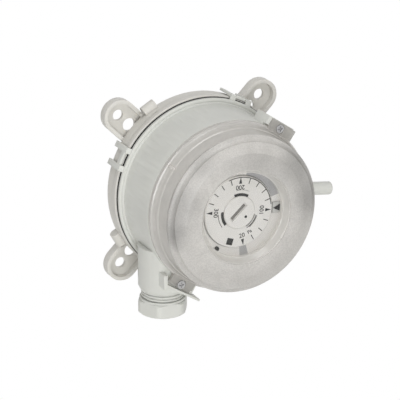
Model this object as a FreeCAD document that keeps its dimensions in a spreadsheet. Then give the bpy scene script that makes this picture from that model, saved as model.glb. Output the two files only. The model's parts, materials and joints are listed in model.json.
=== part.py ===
import FreeCAD, Part
import Sketcher
import math
import os

os.makedirs("parts", exist_ok=True)
document = FreeCAD.newDocument("pressure_switch")
Vector = FreeCAD.Vector
Rotation = FreeCAD.Rotation

# Every piece is drawn lying on its back: x to the right, y up, z out of the wall.
# The switch is stood up against the wall at the very end.

# Sizes kept in one sheet

sheet = document.addObject("Spreadsheet::Sheet", "Sizes")
row_count = 0


class Size:
    """A number together with the sheet expression that gives it."""

    def __init__(self, value, text):
        self.value = value
        self.text = text

    def __add__(self, other):
        other = as_size(other)
        return Size(self.value + other.value, f"({self.text} + {other.text})")

    def __sub__(self, other):
        other = as_size(other)
        return Size(self.value - other.value, f"({self.text} - {other.text})")

    def __mul__(self, other):
        other = as_size(other)
        return Size(self.value * other.value, f"({self.text} * {other.text})")

    def __truediv__(self, other):
        other = as_size(other)
        return Size(self.value / other.value, f"({self.text} / {other.text})")

    def __neg__(self):
        return Size(-self.value, f"(0 - {self.text})")

    def __radd__(self, other):
        return as_size(other) + self

    def __rsub__(self, other):
        return as_size(other) - self

    def __rmul__(self, other):
        return as_size(other) * self


def as_size(number):
    if isinstance(number, Size):
        return number
    return Size(float(number), f"({float(number):.6f})")


def cosine(angle):
    angle = as_size(angle)
    return Size(math.cos(math.radians(angle.value)), f"cos({angle.text})")


def sine(angle):
    angle = as_size(angle)
    return Size(math.sin(math.radians(angle.value)), f"sin({angle.text})")


def size(name, value):
    """Put one value in the sheet under a name and hand it back."""
    global row_count
    row_count += 1
    cell = f"A{row_count}"
    sheet.set(cell, str(value))
    sheet.setAlias(cell, name)
    return Size(float(value), f"Sizes.{name}")


def bind(item, field, amount):
    item.setExpression(field, as_size(amount).text)


# Base housing and its fixing tabs

base_radius = size("base_radius", 42.5)
base_edge_round = size("base_edge_round", 4.2)
base_foot_height = size("base_foot_height", 1.7)
base_foot_thickness = size("base_foot_thickness", 2.3)
base_floor_back = size("base_floor_back", 2.2)
base_floor_front = size("base_floor_front", 4.2)
base_front = size("base_front", 14.0)
base_groove_start = size("base_groove_start", 10.4)
base_groove_end = size("base_groove_end", 11.0)
base_groove_radius = size("base_groove_radius", 42.1)
base_flange_radius = size("base_flange_radius", 42.8)
flange_edge = size("flange_edge", 0.3)
chamber_radius = size("chamber_radius", 36.8)
tab_angle = size("tab_angle", 45)
tab_root_radius = size("tab_root_radius", 37.4)
tab_end_radius = size("tab_end_radius", 51.8)
tab_half_width = size("tab_half_width", 7.7)
tab_rim = size("tab_rim", 1.7)
tab_web = size("tab_web", 1.8)
tab_height = size("tab_height", 4.7)
fixing_hole_place = size("fixing_hole_place", 50.0)
fixing_hole_radius = size("fixing_hole_radius", 2.5)
key_hole_place = size("key_hole_place", 42.6)
key_hole_radius = size("key_hole_radius", 3.0)
side_boss_angle = size("side_boss_angle", 30)
side_boss_place = size("side_boss_place", 43.2)
side_boss_depth = size("side_boss_depth", 5.0)
side_boss_radius = size("side_boss_radius", 2.7)
side_boss_length = size("side_boss_length", 6.5)
side_boss_bore = size("side_boss_bore", 1.4)
vent_width = size("vent_width", 2.4)
vent_height = size("vent_height", 0.9)
vent_depth = size("vent_depth", 10.0)
back_rib_width = size("back_rib_width", 1.6)
back_rib_start = size("back_rib_start", 5.0)
back_rib_set_back = size("back_rib_set_back", 0.3)
stop_radius = size("stop_radius", 1.6)
stop_place = size("stop_place", 20.0)
stop_gap = size("stop_gap", 0.3)

# Diaphragm, its plate and the measuring spring

diaphragm_radius = size("diaphragm_radius", 42.1)
diaphragm_rim = size("diaphragm_rim", 0.8)
membrane_back = size("membrane_back", 13.9)
membrane_thickness = size("membrane_thickness", 0.5)
roll_inner_radius = size("roll_inner_radius", 30.0)
roll_bend = size("roll_bend", 0.62)
roll_curve = (chamber_radius - roll_inner_radius) * roll_bend
plate_inset = size("plate_inset", 1.0)
plate_radius = roll_inner_radius - plate_inset
plate_thickness = size("plate_thickness", 0.85)
plate_gap = size("plate_gap", 0.05)
cup_radius = size("cup_radius", 6.5)
cup_wall = size("cup_wall", 1.1)
cup_height = size("cup_height", 2.0)
push_pin_place = size("push_pin_place", 13.5)
push_pin_radius = size("push_pin_radius", 1.2)
push_pin_tip = size("push_pin_tip", 32.3)
spring_radius = size("spring_radius", 5.0)
spring_wire = size("spring_wire", 0.45)
spring_turns = size("spring_turns", 5)
fit_gap = size("fit_gap", 0.05)
slide_gap = size("slide_gap", 0.1)
seat_radius = size("seat_radius", 7.1)
seat_thickness = size("seat_thickness", 2.5)
seat_back = size("seat_back", 23.34)
seat_ear_reach = size("seat_ear_reach", 8.9)
seat_ear_width = size("seat_ear_width", 3.0)
guide_wall = size("guide_wall", 2.0)
guide_back = size("guide_back", 19.0)

# Middle housing

middle_back = size("middle_back", 14.8)
middle_flange_radius = size("middle_flange_radius", 41.9)
middle_flange_front = size("middle_flange_front", 16.3)
flange_groove_radius = size("flange_groove_radius", 40.3)
flange_groove_width = size("flange_groove_width", 0.8)
flange_groove_depth = size("flange_groove_depth", 0.4)
wall_radius_back = size("wall_radius_back", 39.3)
wall_radius_front = size("wall_radius_front", 38.9)
wall_inner_radius = size("wall_inner_radius", 36.9)
middle_front = size("middle_front", 40.2)
partition_back = size("partition_back", 28.0)
partition_front = size("partition_front", 30.0)
tower_radius = size("tower_radius", 6.0)
tower_front = size("tower_front", 34.0)
clip_angle = size("clip_angle", 63.7)
clip_sweep = size("clip_sweep", 14.5)
clip_inner_radius = size("clip_inner_radius", 42.9)
clip_outer_radius = size("clip_outer_radius", 44.1)
clip_tip = size("clip_tip", 4.0)
clip_arm_height = size("clip_arm_height", 0.9)
clip_web_back = size("clip_web_back", 11.9)
clip_web_front = size("clip_web_front", 14.4)
clip_prong_width = size("clip_prong_width", 2.6)
clip_prong_offset = size("clip_prong_offset", 4.25)
well_left = size("well_left", -36.5)
well_right = size("well_right", -16.0)
well_bottom = size("well_bottom", -36.5)
well_top = size("well_top", -18.0)
well_back = size("well_back", 17.2)
well_wall = size("well_wall", 1.5)
gland_x = size("gland_x", -26.4)
gland_offset = size("gland_offset", 0.5)
gland_depth = (middle_back + middle_front) / 2 + gland_offset
gland_boss_radius = size("gland_boss_radius", 11.0)
gland_boss_end = size("gland_boss_end", -37.2)
gland_neck_radius = size("gland_neck_radius", 9.9)
gland_neck_end = size("gland_neck_end", -39.6)
gland_stub_radius = size("gland_stub_radius", 9.0)
gland_stub_end = size("gland_stub_end", -46.8)
gland_bore_radius = size("gland_bore_radius", 7.0)
port_angle = size("port_angle", -7.4)
port_radius = size("port_radius", 3.1)
port_bore = size("port_bore", 2.0)
port_tip_round = size("port_tip_round", 0.8)
port_collar_radius = size("port_collar_radius", 4.6)
port_collar_reach = size("port_collar_reach", 43.6)
low_port_depth = size("low_port_depth", 22.5)
low_port_reach = size("low_port_reach", 62.7)
high_port_depth = size("high_port_depth", 7.5)
high_port_reach = size("high_port_reach", 56.5)
upper_lug_angle = size("upper_lug_angle", 55.5)
upper_lug_reach = size("upper_lug_reach", 43.2)
upper_lug_width = size("upper_lug_width", 16.1)
upper_lug_shift = size("upper_lug_shift", -1.75)
upper_lug_back = size("upper_lug_back", 32.0)
hook_inner = size("hook_inner", 39.4)
hook_width = size("hook_width", 1.6)
hook_front = size("hook_front", 43.0)
lug_angle = size("lug_angle", 238)
lug_reach = size("lug_reach", 44.4)
lug_width = size("lug_width", 14.7)
lug_back = size("lug_back", 33.5)
lug_shift = size("lug_shift", -1.55)
lip_inner = size("lip_inner", 43.45)
lip_width = size("lip_width", 18.5)
lip_shift = size("lip_shift", 0.35)
lip_front = size("lip_front", 42.7)
nub_width = size("nub_width", 4.0)
nub_rise = size("nub_rise", 1.2)
nub_back = size("nub_back", 34.2)
nub_front = size("nub_front", 37.4)
nub_shift = size("nub_shift", 0.8)
side_plate_left = size("side_plate_left", -32.5)
side_plate_right = size("side_plate_right", -30.7)
side_plate_bottom = size("side_plate_bottom", -34.0)
side_plate_top = size("side_plate_top", -27.5)
side_plate_back = size("side_plate_back", 33.0)

# Setting spindle and dial

spindle_thread_radius = size("spindle_thread_radius", 2.5)
spindle_tip = size("spindle_tip", 19.5)
collar_radius = size("collar_radius", 4.5)
collar_thickness = size("collar_thickness", 1.0)
journal_radius = size("journal_radius", 3.0)
journal_end = size("journal_end", 34.6)
shaft_radius = size("shaft_radius", 2.6)
shaft_end = size("shaft_end", 50.3)
seal_groove_start = size("seal_groove_start", 30.4)
seal_groove_width = size("seal_groove_width", 1.2)
seal_groove_radius = size("seal_groove_radius", 2.0)
seal_wire = size("seal_wire", 0.5)
dial_radius = size("dial_radius", 16.5)
dial_back = size("dial_back", 49.3)
dial_face = size("dial_face", 50.8)
dial_bevel = size("dial_bevel", 0.3)
dial_hub_radius = size("dial_hub_radius", 5.0)
dial_hub_back = size("dial_hub_back", 47.0)
dial_roof = size("dial_roof", 50.4)
knob_radius = size("knob_radius", 7.5)
knob_face = size("knob_face", 51.6)
driver_slot_x = size("driver_slot_x", -0.6)
driver_slot_y = size("driver_slot_y", 0.3)
driver_slot_angle = size("driver_slot_angle", 42)
driver_slot_length = size("driver_slot_length", 9.6)
driver_slot_width = size("driver_slot_width", 2.2)
driver_slot_floor = size("driver_slot_floor", 50.9)
dial_slot_inner = size("dial_slot_inner", 7.6)
dial_slot_outer = size("dial_slot_outer", 8.35)
second_slot_inner = size("second_slot_inner", 9.0)
second_slot_outer = size("second_slot_outer", 9.6)
top_slot_angle = size("top_slot_angle", 80.5)
top_slot_sweep = size("top_slot_sweep", 49)
left_slot_angle = size("left_slot_angle", 194.5)
left_slot_sweep = size("left_slot_sweep", 47)
right_slot_angle = size("right_slot_angle", 320)
right_slot_sweep = size("right_slot_sweep", 48)
outer_slot_angle = size("outer_slot_angle", 322.5)
outer_slot_sweep = size("outer_slot_sweep", 37)
dial_window_angle = size("dial_window_angle", 251.5)
dial_window_inner = size("dial_window_inner", 12.3)
dial_window_outer = size("dial_window_outer", 15.4)
dial_window_width = size("dial_window_width", 3.1)

# Mechanism bridge, switch and lever

bridge_radius = size("bridge_radius", 21.5)
bridge_back = size("bridge_back", 46.0)
bridge_front = size("bridge_front", 48.0)
bridge_hole = size("bridge_hole", 6.0)
bridge_arm_width = size("bridge_arm_width", 8.0)
post_place = size("post_place", 26.0)
post_radius = size("post_radius", 3.0)
post_angle_first = size("post_angle_first", 45)
post_angle_second = size("post_angle_second", 170)
post_angle_third = size("post_angle_third", 315)
bridge_screw_radius = size("bridge_screw_radius", 1.2)
bridge_screw_head = size("bridge_screw_head", 2.5)
bridge_screw_head_height = size("bridge_screw_head_height", 1.6)
bridge_screw_end = size("bridge_screw_end", 39.0)
pad_angle = size("pad_angle", -3)
pad_inner = size("pad_inner", 16.9)
pad_outer = size("pad_outer", 20.9)
pad_width = size("pad_width", 5.0)
pad_front = size("pad_front", 50.7)
pointer_inner = size("pointer_inner", 17.0)
pointer_outer = size("pointer_outer", 20.3)
pointer_half_width = size("pointer_half_width", 1.6)
pointer_thickness = size("pointer_thickness", 0.3)
sight_hole_place = size("sight_hole_place", 17.75)
sight_hole_angle = size("sight_hole_angle", 236)
sight_hole_radius = size("sight_hole_radius", 0.8)
switch_left = size("switch_left", 8.0)
switch_length = size("switch_length", 20.0)
switch_width = size("switch_width", 6.4)
switch_back = size("switch_back", 34.5)
switch_front = size("switch_front", 44.7)
hinge_place = size("hinge_place", 9.0)
hinge_depth = size("hinge_depth", 33.6)
hinge_pin_radius = size("hinge_pin_radius", 0.5)
hinge_lug_width = size("hinge_lug_width", 3.6)
hinge_skin = size("hinge_skin", 0.2)
lever_back = size("lever_back", 32.35)
lever_thickness = size("lever_thickness", 0.4)
lever_width = size("lever_width", 5.4)
lever_end = size("lever_end", 22.0)
plunger_place = size("plunger_place", 16.5)
plunger_radius = size("plunger_radius", 0.9)
plunger_tip = size("plunger_tip", 32.85)
plunger_top = size("plunger_top", 36.0)
plunger_bore_top = size("plunger_bore_top", 36.8)
hanger_thickness = size("hanger_thickness", 2.0)
hanger_back = size("hanger_back", 35.5)
switch_screw_radius = size("switch_screw_radius", 1.0)
switch_screw_head = size("switch_screw_head", 1.8)
switch_screw_head_height = size("switch_screw_head_height", 1.2)
switch_screw_depth = size("switch_screw_depth", 42.0)
switch_screw_inset = size("switch_screw_inset", 5.2)
pin_seal_radius = size("pin_seal_radius", 3.2)
pin_seal_lip = size("pin_seal_lip", 1.9)
pin_seal_height = size("pin_seal_height", 1.7)

# Terminals

block_left = size("block_left", -10.0)
block_right = size("block_right", 14.0)
block_bottom = size("block_bottom", -29.0)
block_top = size("block_top", -16.0)
block_front = size("block_front", 43.0)
terminal_pitch = size("terminal_pitch", 8.0)
terminal_first = size("terminal_first", -6.0)
terminal_y = size("terminal_y", -23.0)
clamp_width = size("clamp_width", 6.0)
clamp_length = size("clamp_length", 8.0)
clamp_back = size("clamp_back", 33.5)
clamp_front = size("clamp_front", 40.5)
pocket_gap = size("pocket_gap", 0.2)
wire_hole_radius = size("wire_hole_radius", 1.6)
wire_hole_depth = size("wire_hole_depth", 36.0)
wire_entry_radius = size("wire_entry_radius", 1.9)
clamp_screw_radius = size("clamp_screw_radius", 1.5)
clamp_screw_tip = size("clamp_screw_tip", 38.0)
clamp_screw_head = size("clamp_screw_head", 2.6)
clamp_screw_under = size("clamp_screw_under", 40.9)
clamp_screw_top = size("clamp_screw_top", 42.7)
screw_slot_width = size("screw_slot_width", 0.8)
screw_slot_depth = size("screw_slot_depth", 0.8)
strap_depth = size("strap_depth", 38.4)
strap_thickness = size("strap_thickness", 0.6)
strap_width = size("strap_width", 1.6)
strap_lane_first = size("strap_lane_first", -8.0)
strap_lane_step = size("strap_lane_step", -2.6)
strap_tag_first = size("strap_tag_first", 10.5)
strap_tag_step = size("strap_tag_step", 7.0)

# Cable gland

seal_outer_radius = size("seal_outer_radius", 6.95)
seal_inner_radius = size("seal_inner_radius", 4.5)
seal_top = size("seal_top", -41.0)
seal_bottom = size("seal_bottom", -47.1)
clamp_ring_radius = size("clamp_ring_radius", 8.7)
clamp_ring_bore = size("clamp_ring_bore", 5.6)
clamp_ring_bottom = size("clamp_ring_bottom", -48.1)
nut_across_flats = size("nut_across_flats", 20.8)
nut_corner_radius = size("nut_corner_radius", 11.5)
nut_turn = size("nut_turn", -116.3)
nut_top = size("nut_top", -43.0)
nut_bottom = size("nut_bottom", -50.3)
nut_collar_radius = size("nut_collar_radius", 10.4)
nut_collar_height = size("nut_collar_height", 1.0)
nut_floor = size("nut_floor", 1.8)
nut_hole_radius = size("nut_hole_radius", 6.6)
nut_chamfer = size("nut_chamfer", 1.0)

# Cover

cover_seam = size("cover_seam", 0.3)
cover_back = middle_front + cover_seam
cover_rim_height = size("cover_rim_height", 2.0)
cover_rim_front = cover_back + cover_rim_height
cover_rim_curve = size("cover_rim_curve", 1.3)
cover_step_height = size("cover_step_height", 1.1)
cover_step_front = cover_rim_front + cover_step_height
cover_step_radius = size("cover_step_radius", 37.3)
cover_bead_height = size("cover_bead_height", 1.6)
cover_bead_front = cover_step_front + cover_bead_height
cover_bead_radius = size("cover_bead_radius", 37.1)
cover_neck_height = size("cover_neck_height", 1.0)
cover_side_start = cover_bead_front + cover_neck_height
cover_side_radius_back = size("cover_side_radius_back", 36.5)
cover_side_radius_front = size("cover_side_radius_front", 36.0)
cover_side_height = size("cover_side_height", 5.8)
cover_crease_depth = cover_side_start + cover_side_height
cover_crease_radius = size("cover_crease_radius", 35.7)
cover_crease_width = size("cover_crease_width", 1.0)
cover_corner_radius = size("cover_corner_radius", 36.2)
cover_band_height = size("cover_band_height", 1.0)
cover_corner_start = cover_crease_depth + cover_crease_width + cover_band_height
cover_corner_round = size("cover_corner_round", 2.5)
cover_corner_depth = cover_corner_start + cover_corner_round
cover_dome_rise = size("cover_dome_rise", 1.4)
cover_edge_radius = size("cover_edge_radius", 28.2)
cover_edge_depth = cover_corner_depth + cover_dome_rise
cover_ring_curve = size("cover_ring_curve", 30.0)
cover_ring_rise = size("cover_ring_rise", 0.3)
cover_lip_radius = size("cover_lip_radius", 21.2)
cover_lip_depth = cover_edge_depth + cover_ring_rise
cover_lip_round = size("cover_lip_round", 0.35)
pane_radius = size("pane_radius", 19.4)
pane_recess = size("pane_recess", 3.0)
pane_front = cover_lip_depth - pane_recess
pane_thickness = size("pane_thickness", 1.8)
pane_back = pane_front - pane_thickness
cover_wall = size("cover_wall", 1.9)
ear_angle = size("ear_angle", 55.5)
ear_shift = size("ear_shift", -2.75)
ear_width = size("ear_width", 14.1)
ear_reach = size("ear_reach", 42.8)
lower_ear_angle = size("lower_ear_angle", 235)
lower_ear_reach = size("lower_ear_reach", 42.9)
lower_ear_width = size("lower_ear_width", 12.8)
lower_ear_shift = size("lower_ear_shift", -0.6)
channel_width = size("channel_width", 1.5)
channel_depth = size("channel_depth", 1.2)
ear_height = size("ear_height", 2.2)
ear_front = cover_back + ear_height
ear_root = size("ear_root", 37.5)
upper_screw_place = size("upper_screw_place", 40.4)
upper_screw_angle = size("upper_screw_angle", 52.8)
lower_screw_place = size("lower_screw_place", 40.9)
lower_screw_angle = size("lower_screw_angle", 234)
cover_screw_radius = size("cover_screw_radius", 1.3)
cover_screw_reach = size("cover_screw_reach", 3.8)
cover_screw_end = middle_front - cover_screw_reach
screw_tip_gap = size("screw_tip_gap", 0.4)
cover_screw_head = size("cover_screw_head", 1.9)
cover_screw_head_height = size("cover_screw_head_height", 1.1)
screw_sink = size("screw_sink", 1.0)
screw_pocket_gap = size("screw_pocket_gap", 0.3)
screw_cross_half = size("screw_cross_half", 1.2)
screw_cross_width = size("screw_cross_width", 0.6)
screw_cross_depth = size("screw_cross_depth", 0.8)
cover_rib_angle = size("cover_rib_angle", 141.5)
cover_rib_width = size("cover_rib_width", 1.4)
cover_rib_set_back = size("cover_rib_set_back", 0.5)
gasket_set_in = size("gasket_set_in", 0.45)
gasket_width = size("gasket_width", 0.9)
gasket_depth = size("gasket_depth", 1.0)
gasket_room = size("gasket_room", 0.08)
gasket_inner = wall_inner_radius + gasket_set_in
gasket_outer = gasket_inner + gasket_width
gasket_back = middle_front - gasket_depth
gasket_front = cover_back - gasket_room

document.recompute()

# Drawing helpers


def place(item, x=0, y=0, z=0, angle=None, axis=None):
    """Move a piece to x, y, z and turn it by an angle about z, or by 90 about an axis."""
    if axis is not None:
        item.Placement = FreeCAD.Placement(Vector(0, 0, 0), Rotation(axis, 90))
    elif angle is not None:
        item.Placement = FreeCAD.Placement(Vector(0, 0, 0), Rotation(Vector(0, 0, 1), 1))
        bind(item, "Placement.Rotation.Angle", angle)
    bind(item, "Placement.Base.x", x)
    bind(item, "Placement.Base.y", y)
    bind(item, "Placement.Base.z", z)
    return item


def cylinder(name, radius, start, end, x=0, y=0):
    item = document.addObject("Part::Cylinder", name)
    bind(item, "Radius", radius)
    bind(item, "Height", as_size(end) - start)
    return place(item, x, y, start)


def cone(name, radius_start, radius_end, start, end, x=0, y=0):
    item = document.addObject("Part::Cone", name)
    bind(item, "Radius1", radius_start)
    bind(item, "Radius2", radius_end)
    bind(item, "Height", as_size(end) - start)
    return place(item, x, y, start)


def box(name, left, right, bottom, top, back, front):
    item = document.addObject("Part::Box", name)
    bind(item, "Length", as_size(right) - left)
    bind(item, "Width", as_size(top) - bottom)
    bind(item, "Height", as_size(front) - back)
    return place(item, left, bottom, back)


def radial_box(name, angle, inner, outer, width, back, front, shift=0):
    """A block whose length runs out along an angle, moved sideways by shift."""
    item = document.addObject("Part::Box", name)
    bind(item, "Length", as_size(outer) - inner)
    bind(item, "Width", width)
    bind(item, "Height", as_size(front) - back)
    side = as_size(shift) - as_size(width) / 2
    x = inner * cosine(angle) - side * sine(angle)
    y = inner * sine(angle) + side * cosine(angle)
    return place(item, x, y, back, angle=angle)


def sector(name, inner, outer, angle, sweep, back, front):
    """A piece of a ring, centred on an angle."""
    start = as_size(angle) - as_size(sweep) / 2
    full = cylinder(name + "_full", outer, back, front)
    core = cylinder(name + "_core", inner, as_size(back) - 1, as_size(front) + 1)
    bind(full, "Angle", sweep)
    place(full, 0, 0, back, angle=start)
    return cut(name, full, [core])


def upright_rod(name, radius, x, depth, bottom, top):
    """A round rod standing along y."""
    item = document.addObject("Part::Cylinder", name)
    bind(item, "Radius", radius)
    bind(item, "Height", as_size(top) - bottom)
    return place(item, x, top, depth, axis=Vector(1, 0, 0))


def radial_rod(name, radius, angle, inner, outer, depth):
    """A round rod pointing out from the middle along an angle."""
    item = document.addObject("Part::Cylinder", name)
    bind(item, "Radius", radius)
    bind(item, "Height", as_size(outer) - inner)
    aim(item, angle, inner, depth)
    return item


def aim(item, angle, distance, depth):
    """Turn a piece drawn along z so that it points out along an angle."""
    angle = as_size(angle)
    tilt_axis = Vector(-sine(angle).value, cosine(angle).value, 0)
    item.Placement = FreeCAD.Placement(Vector(0, 0, 0), Rotation(tilt_axis, 90))
    bind(item, "Placement.Rotation.Axis.x", -sine(angle))
    bind(item, "Placement.Rotation.Axis.y", cosine(angle))
    bind(item, "Placement.Base.x", distance * cosine(angle))
    bind(item, "Placement.Base.y", distance * sine(angle))
    bind(item, "Placement.Base.z", depth)


def fuse(name, pieces):
    item = document.addObject("Part::MultiFuse", name)
    item.Shapes = pieces
    return item


def cut(name, base, tools):
    item = document.addObject("Part::Cut", name)
    item.Base = base
    item.Tool = tools[0] if len(tools) == 1 else fuse(name + "_tools", tools)
    return item


def common(name, first, second):
    item = document.addObject("Part::Common", name)
    item.Base = first
    item.Tool = second
    return item


def origin_plane(body, role):
    return [item for item in body.Origin.OriginFeatures if item.Role == role][0]


def pin_point(sketch, geometry, end, x, y):
    """Hold one end of a line or arc at x, y from the sheet."""
    for kind, axis, amount in (("DistanceX", -2, as_size(x)), ("DistanceY", -1, as_size(y))):
        if abs(amount.value) < 1e-9:
            sketch.addConstraint(Sketcher.Constraint("PointOnObject", geometry, end, axis))
        else:
            rule = Sketcher.Constraint(kind, -1, 1, geometry, end, amount.value)
            index = sketch.addConstraint(rule)
            sketch.setExpression(f"Constraints[{index}]", amount.text)


def draw_outline(sketch, points):
    """Draw a closed outline; a third number on a point bends the edge that leaves it."""
    count = len(points)
    ends = []
    for index in range(count):
        here = points[index]
        there = points[(index + 1) % count]
        first = Vector(as_size(here[0]).value, as_size(here[1]).value, 0)
        last = Vector(as_size(there[0]).value, as_size(there[1]).value, 0)
        if len(here) == 2:
            geometry = sketch.addGeometry(Part.LineSegment(first, last))
            ends.append((geometry, 1, 2, here))
            continue
        bend = as_size(here[2])
        chord = last - first
        rise = abs(bend.value) - math.sqrt(bend.value ** 2 - (chord.Length / 2) ** 2)
        side = Vector(-chord.y, chord.x, 0).normalize() * math.copysign(rise, bend.value)
        middle = (first + last) * 0.5 + side
        geometry = sketch.addGeometry(Part.Arc(first, middle, last))
        forward = sketch.getPoint(geometry, 1).distanceToPoint(first) < 1e-6
        ends.append((geometry, 1 if forward else 2, 2 if forward else 1, here))
    for index in range(count):
        geometry, start, end, here = ends[index]
        following = ends[(index + 1) % count]
        rule = Sketcher.Constraint("Coincident", geometry, end, following[0], following[1])
        sketch.addConstraint(rule)
    for geometry, start, end, here in ends:
        pin_point(sketch, geometry, start, here[0], here[1])
        if len(here) == 3:
            bend = as_size(here[2])
            radius = bend if bend.value > 0 else -bend
            rule = Sketcher.Constraint("Radius", geometry, radius.value)
            index = sketch.addConstraint(rule)
            sketch.setExpression(f"Constraints[{index}]", radius.text)


def new_sketch(name, role):
    body = document.addObject("PartDesign::Body", name)
    sketch = body.newObject("Sketcher::SketchObject", name + "_sketch")
    sketch.AttachmentSupport = (origin_plane(body, role), "")
    sketch.MapMode = "FlatFace"
    return body, sketch


def turned(name, points):
    """A body turned about z from points given as radius and depth."""
    body, sketch = new_sketch(name, "XZ_Plane")
    draw_outline(sketch, points)
    turn = body.newObject("PartDesign::Revolution", name + "_turn")
    turn.Profile = sketch
    turn.ReferenceAxis = (sketch, ["V_Axis"])
    turn.Angle = 360
    body.Tip = turn
    return body


def padded(name, points, height):
    """A body raised along z from an outline in x and y."""
    body, sketch = new_sketch(name, "XY_Plane")
    draw_outline(sketch, points)
    pad = body.newObject("PartDesign::Pad", name + "_pad")
    pad.Profile = sketch
    bind(pad, "Length", height)
    body.Tip = pad
    return body


nodes = []


def finish(item, label):
    """Stand a finished piece up against the wall and note it for writing."""
    if item.ExpressionEngine or not item.Placement.isIdentity():
        holder = document.addObject("Part::Compound", label + "_upright")
        holder.Links = [item]
        item = holder
    item.Label = label
    item.Placement = FreeCAD.Placement(Vector(0, 0, 0), Rotation(Vector(1, 0, 0), 90))
    nodes.append(item)
    return item


def tube_port(name, angle, inner, reach, depth):
    """A plain round hose tail with a rounded tip."""
    length = as_size(reach) - inner
    body = turned(name, [
        (0, 0),
        (port_radius, 0),
        (port_radius, length - port_tip_round, -port_tip_round),
        (port_radius - port_tip_round, length),
        (0, length),
    ])
    aim(body, angle, inner, depth)
    return body


# Base housing

base_back_radius = base_radius - base_edge_round
foot_inner = base_back_radius - base_foot_thickness
base_shell = turned("base_shell", [
    (0, base_floor_back),
    (foot_inner, base_floor_back),
    (foot_inner, 0),
    (base_back_radius, 0),
    (base_back_radius, base_foot_height, -base_edge_round),
    (base_radius, base_foot_height + base_edge_round),
    (base_radius, base_groove_start),
    (base_groove_radius, base_groove_start),
    (base_groove_radius, base_groove_end),
    (base_flange_radius, base_groove_end),
    (base_flange_radius, base_front - flange_edge),
    (base_flange_radius - flange_edge, base_front),
    (chamber_radius, base_front),
    (chamber_radius, base_floor_front),
    (0, base_floor_front),
])
tab_pieces = []
tab_pockets = []
base_pieces = [base_shell]
base_holes = []
for quarter in range(4):
    angle = tab_angle + 90 * quarter
    along_x = cosine(angle)
    along_y = sine(angle)
    end_x = tab_end_radius * along_x
    end_y = tab_end_radius * along_y
    tab_pieces.append(radial_box(f"tab_{quarter}", angle, tab_root_radius, tab_end_radius,
                                 tab_half_width * 2, 0, tab_height))
    tab_pieces.append(cylinder(f"tab_end_{quarter}", tab_half_width, 0, tab_height, end_x, end_y))
    pocket_half = tab_half_width - tab_rim
    tab_pockets.append(radial_box(f"tab_pocket_{quarter}", angle, base_back_radius,
                                  tab_end_radius, pocket_half * 2, tab_web, tab_height + 1))
    tab_pockets.append(cylinder(f"tab_pocket_end_{quarter}", pocket_half, tab_web,
                                tab_height + 1, end_x, end_y))
    base_holes.append(cylinder(f"fixing_hole_{quarter}", fixing_hole_radius, -1, tab_web + 1,
                               fixing_hole_place * along_x, fixing_hole_place * along_y))
    base_holes.append(cylinder(f"key_hole_{quarter}", key_hole_radius, -1,
                               tab_web, key_hole_place * along_x, key_hole_place * along_y))
    boss_angle = side_boss_angle + 90 * quarter
    boss_x = side_boss_place * cosine(boss_angle) + side_boss_length / 2 * sine(boss_angle)
    boss_y = side_boss_place * sine(boss_angle) - side_boss_length / 2 * cosine(boss_angle)
    boss = cylinder(f"side_boss_{quarter}", side_boss_radius, 0, side_boss_length)
    aim(boss, boss_angle + 90, 0, side_boss_depth)
    bind(boss, "Placement.Base.x", boss_x)
    bind(boss, "Placement.Base.y", boss_y)
    boss_bore = cylinder(f"side_boss_bore_{quarter}", side_boss_bore, 0, side_boss_length)
    aim(boss_bore, boss_angle + 90, 0, side_boss_depth)
    bind(boss_bore, "Placement.Base.x", boss_x - 2 * sine(boss_angle))
    bind(boss_bore, "Placement.Base.y", boss_y + 2 * cosine(boss_angle))
    base_pieces.append(cut(f"side_boss_trimmed_{quarter}", boss,
                           [cylinder(f"boss_trim_{quarter}", base_back_radius, 0, base_front)]))
    base_holes.append(boss_bore)
    base_holes.append(radial_box(f"vent_{quarter}", boss_angle, base_groove_radius - 0.8,
                                 base_flange_radius + 1, vent_width, vent_depth,
                                 vent_depth + vent_height))
base_pieces.append(cut("tabs", fuse("tab_blocks", tab_pieces), tab_pockets))
for spoke in range(6):
    base_pieces.append(radial_box(f"back_rib_{spoke}", 30 + 60 * spoke, back_rib_start,
                                  foot_inner + 0.5, back_rib_width, back_rib_set_back,
                                  base_floor_back + 0.5))
base_pieces.append(cut("back_ring", cylinder("back_ring_full", back_rib_start + back_rib_width,
                                             back_rib_set_back, base_floor_back + 0.5),
                       [cylinder("back_ring_hole", back_rib_start, 0, base_floor_back + 1)]))
for leg in range(3):
    leg_angle = 90 + 120 * leg
    base_pieces.append(cylinder(f"stop_{leg}", stop_radius, base_floor_front - 0.5,
                                membrane_back - stop_gap, stop_place * cosine(leg_angle),
                                stop_place * sine(leg_angle)))
base_pieces.append(tube_port("high_port", port_angle, chamber_radius + 2, high_port_reach,
                             high_port_depth))
base_pieces.append(radial_rod("high_port_collar", port_collar_radius, port_angle,
                              chamber_radius + 2, port_collar_reach, high_port_depth))
base_holes.append(radial_rod("high_port_bore", port_bore, port_angle, chamber_radius - 1,
                             high_port_reach + 1, high_port_depth))
base_housing = finish(cut("base_cut", fuse("base_solid", base_pieces), base_holes),
                      "base_housing")

# Diaphragm and its plate

membrane_front = membrane_back + membrane_thickness
diaphragm_front = base_front + diaphragm_rim
diaphragm = finish(turned("diaphragm_body", [
    (0, membrane_back),
    (roll_inner_radius, membrane_back, roll_curve),
    (chamber_radius, base_front),
    (diaphragm_radius, base_front),
    (diaphragm_radius, diaphragm_front),
    (chamber_radius, diaphragm_front, -roll_curve),
    (roll_inner_radius, membrane_front),
    (0, membrane_front),
]), "diaphragm")

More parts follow.
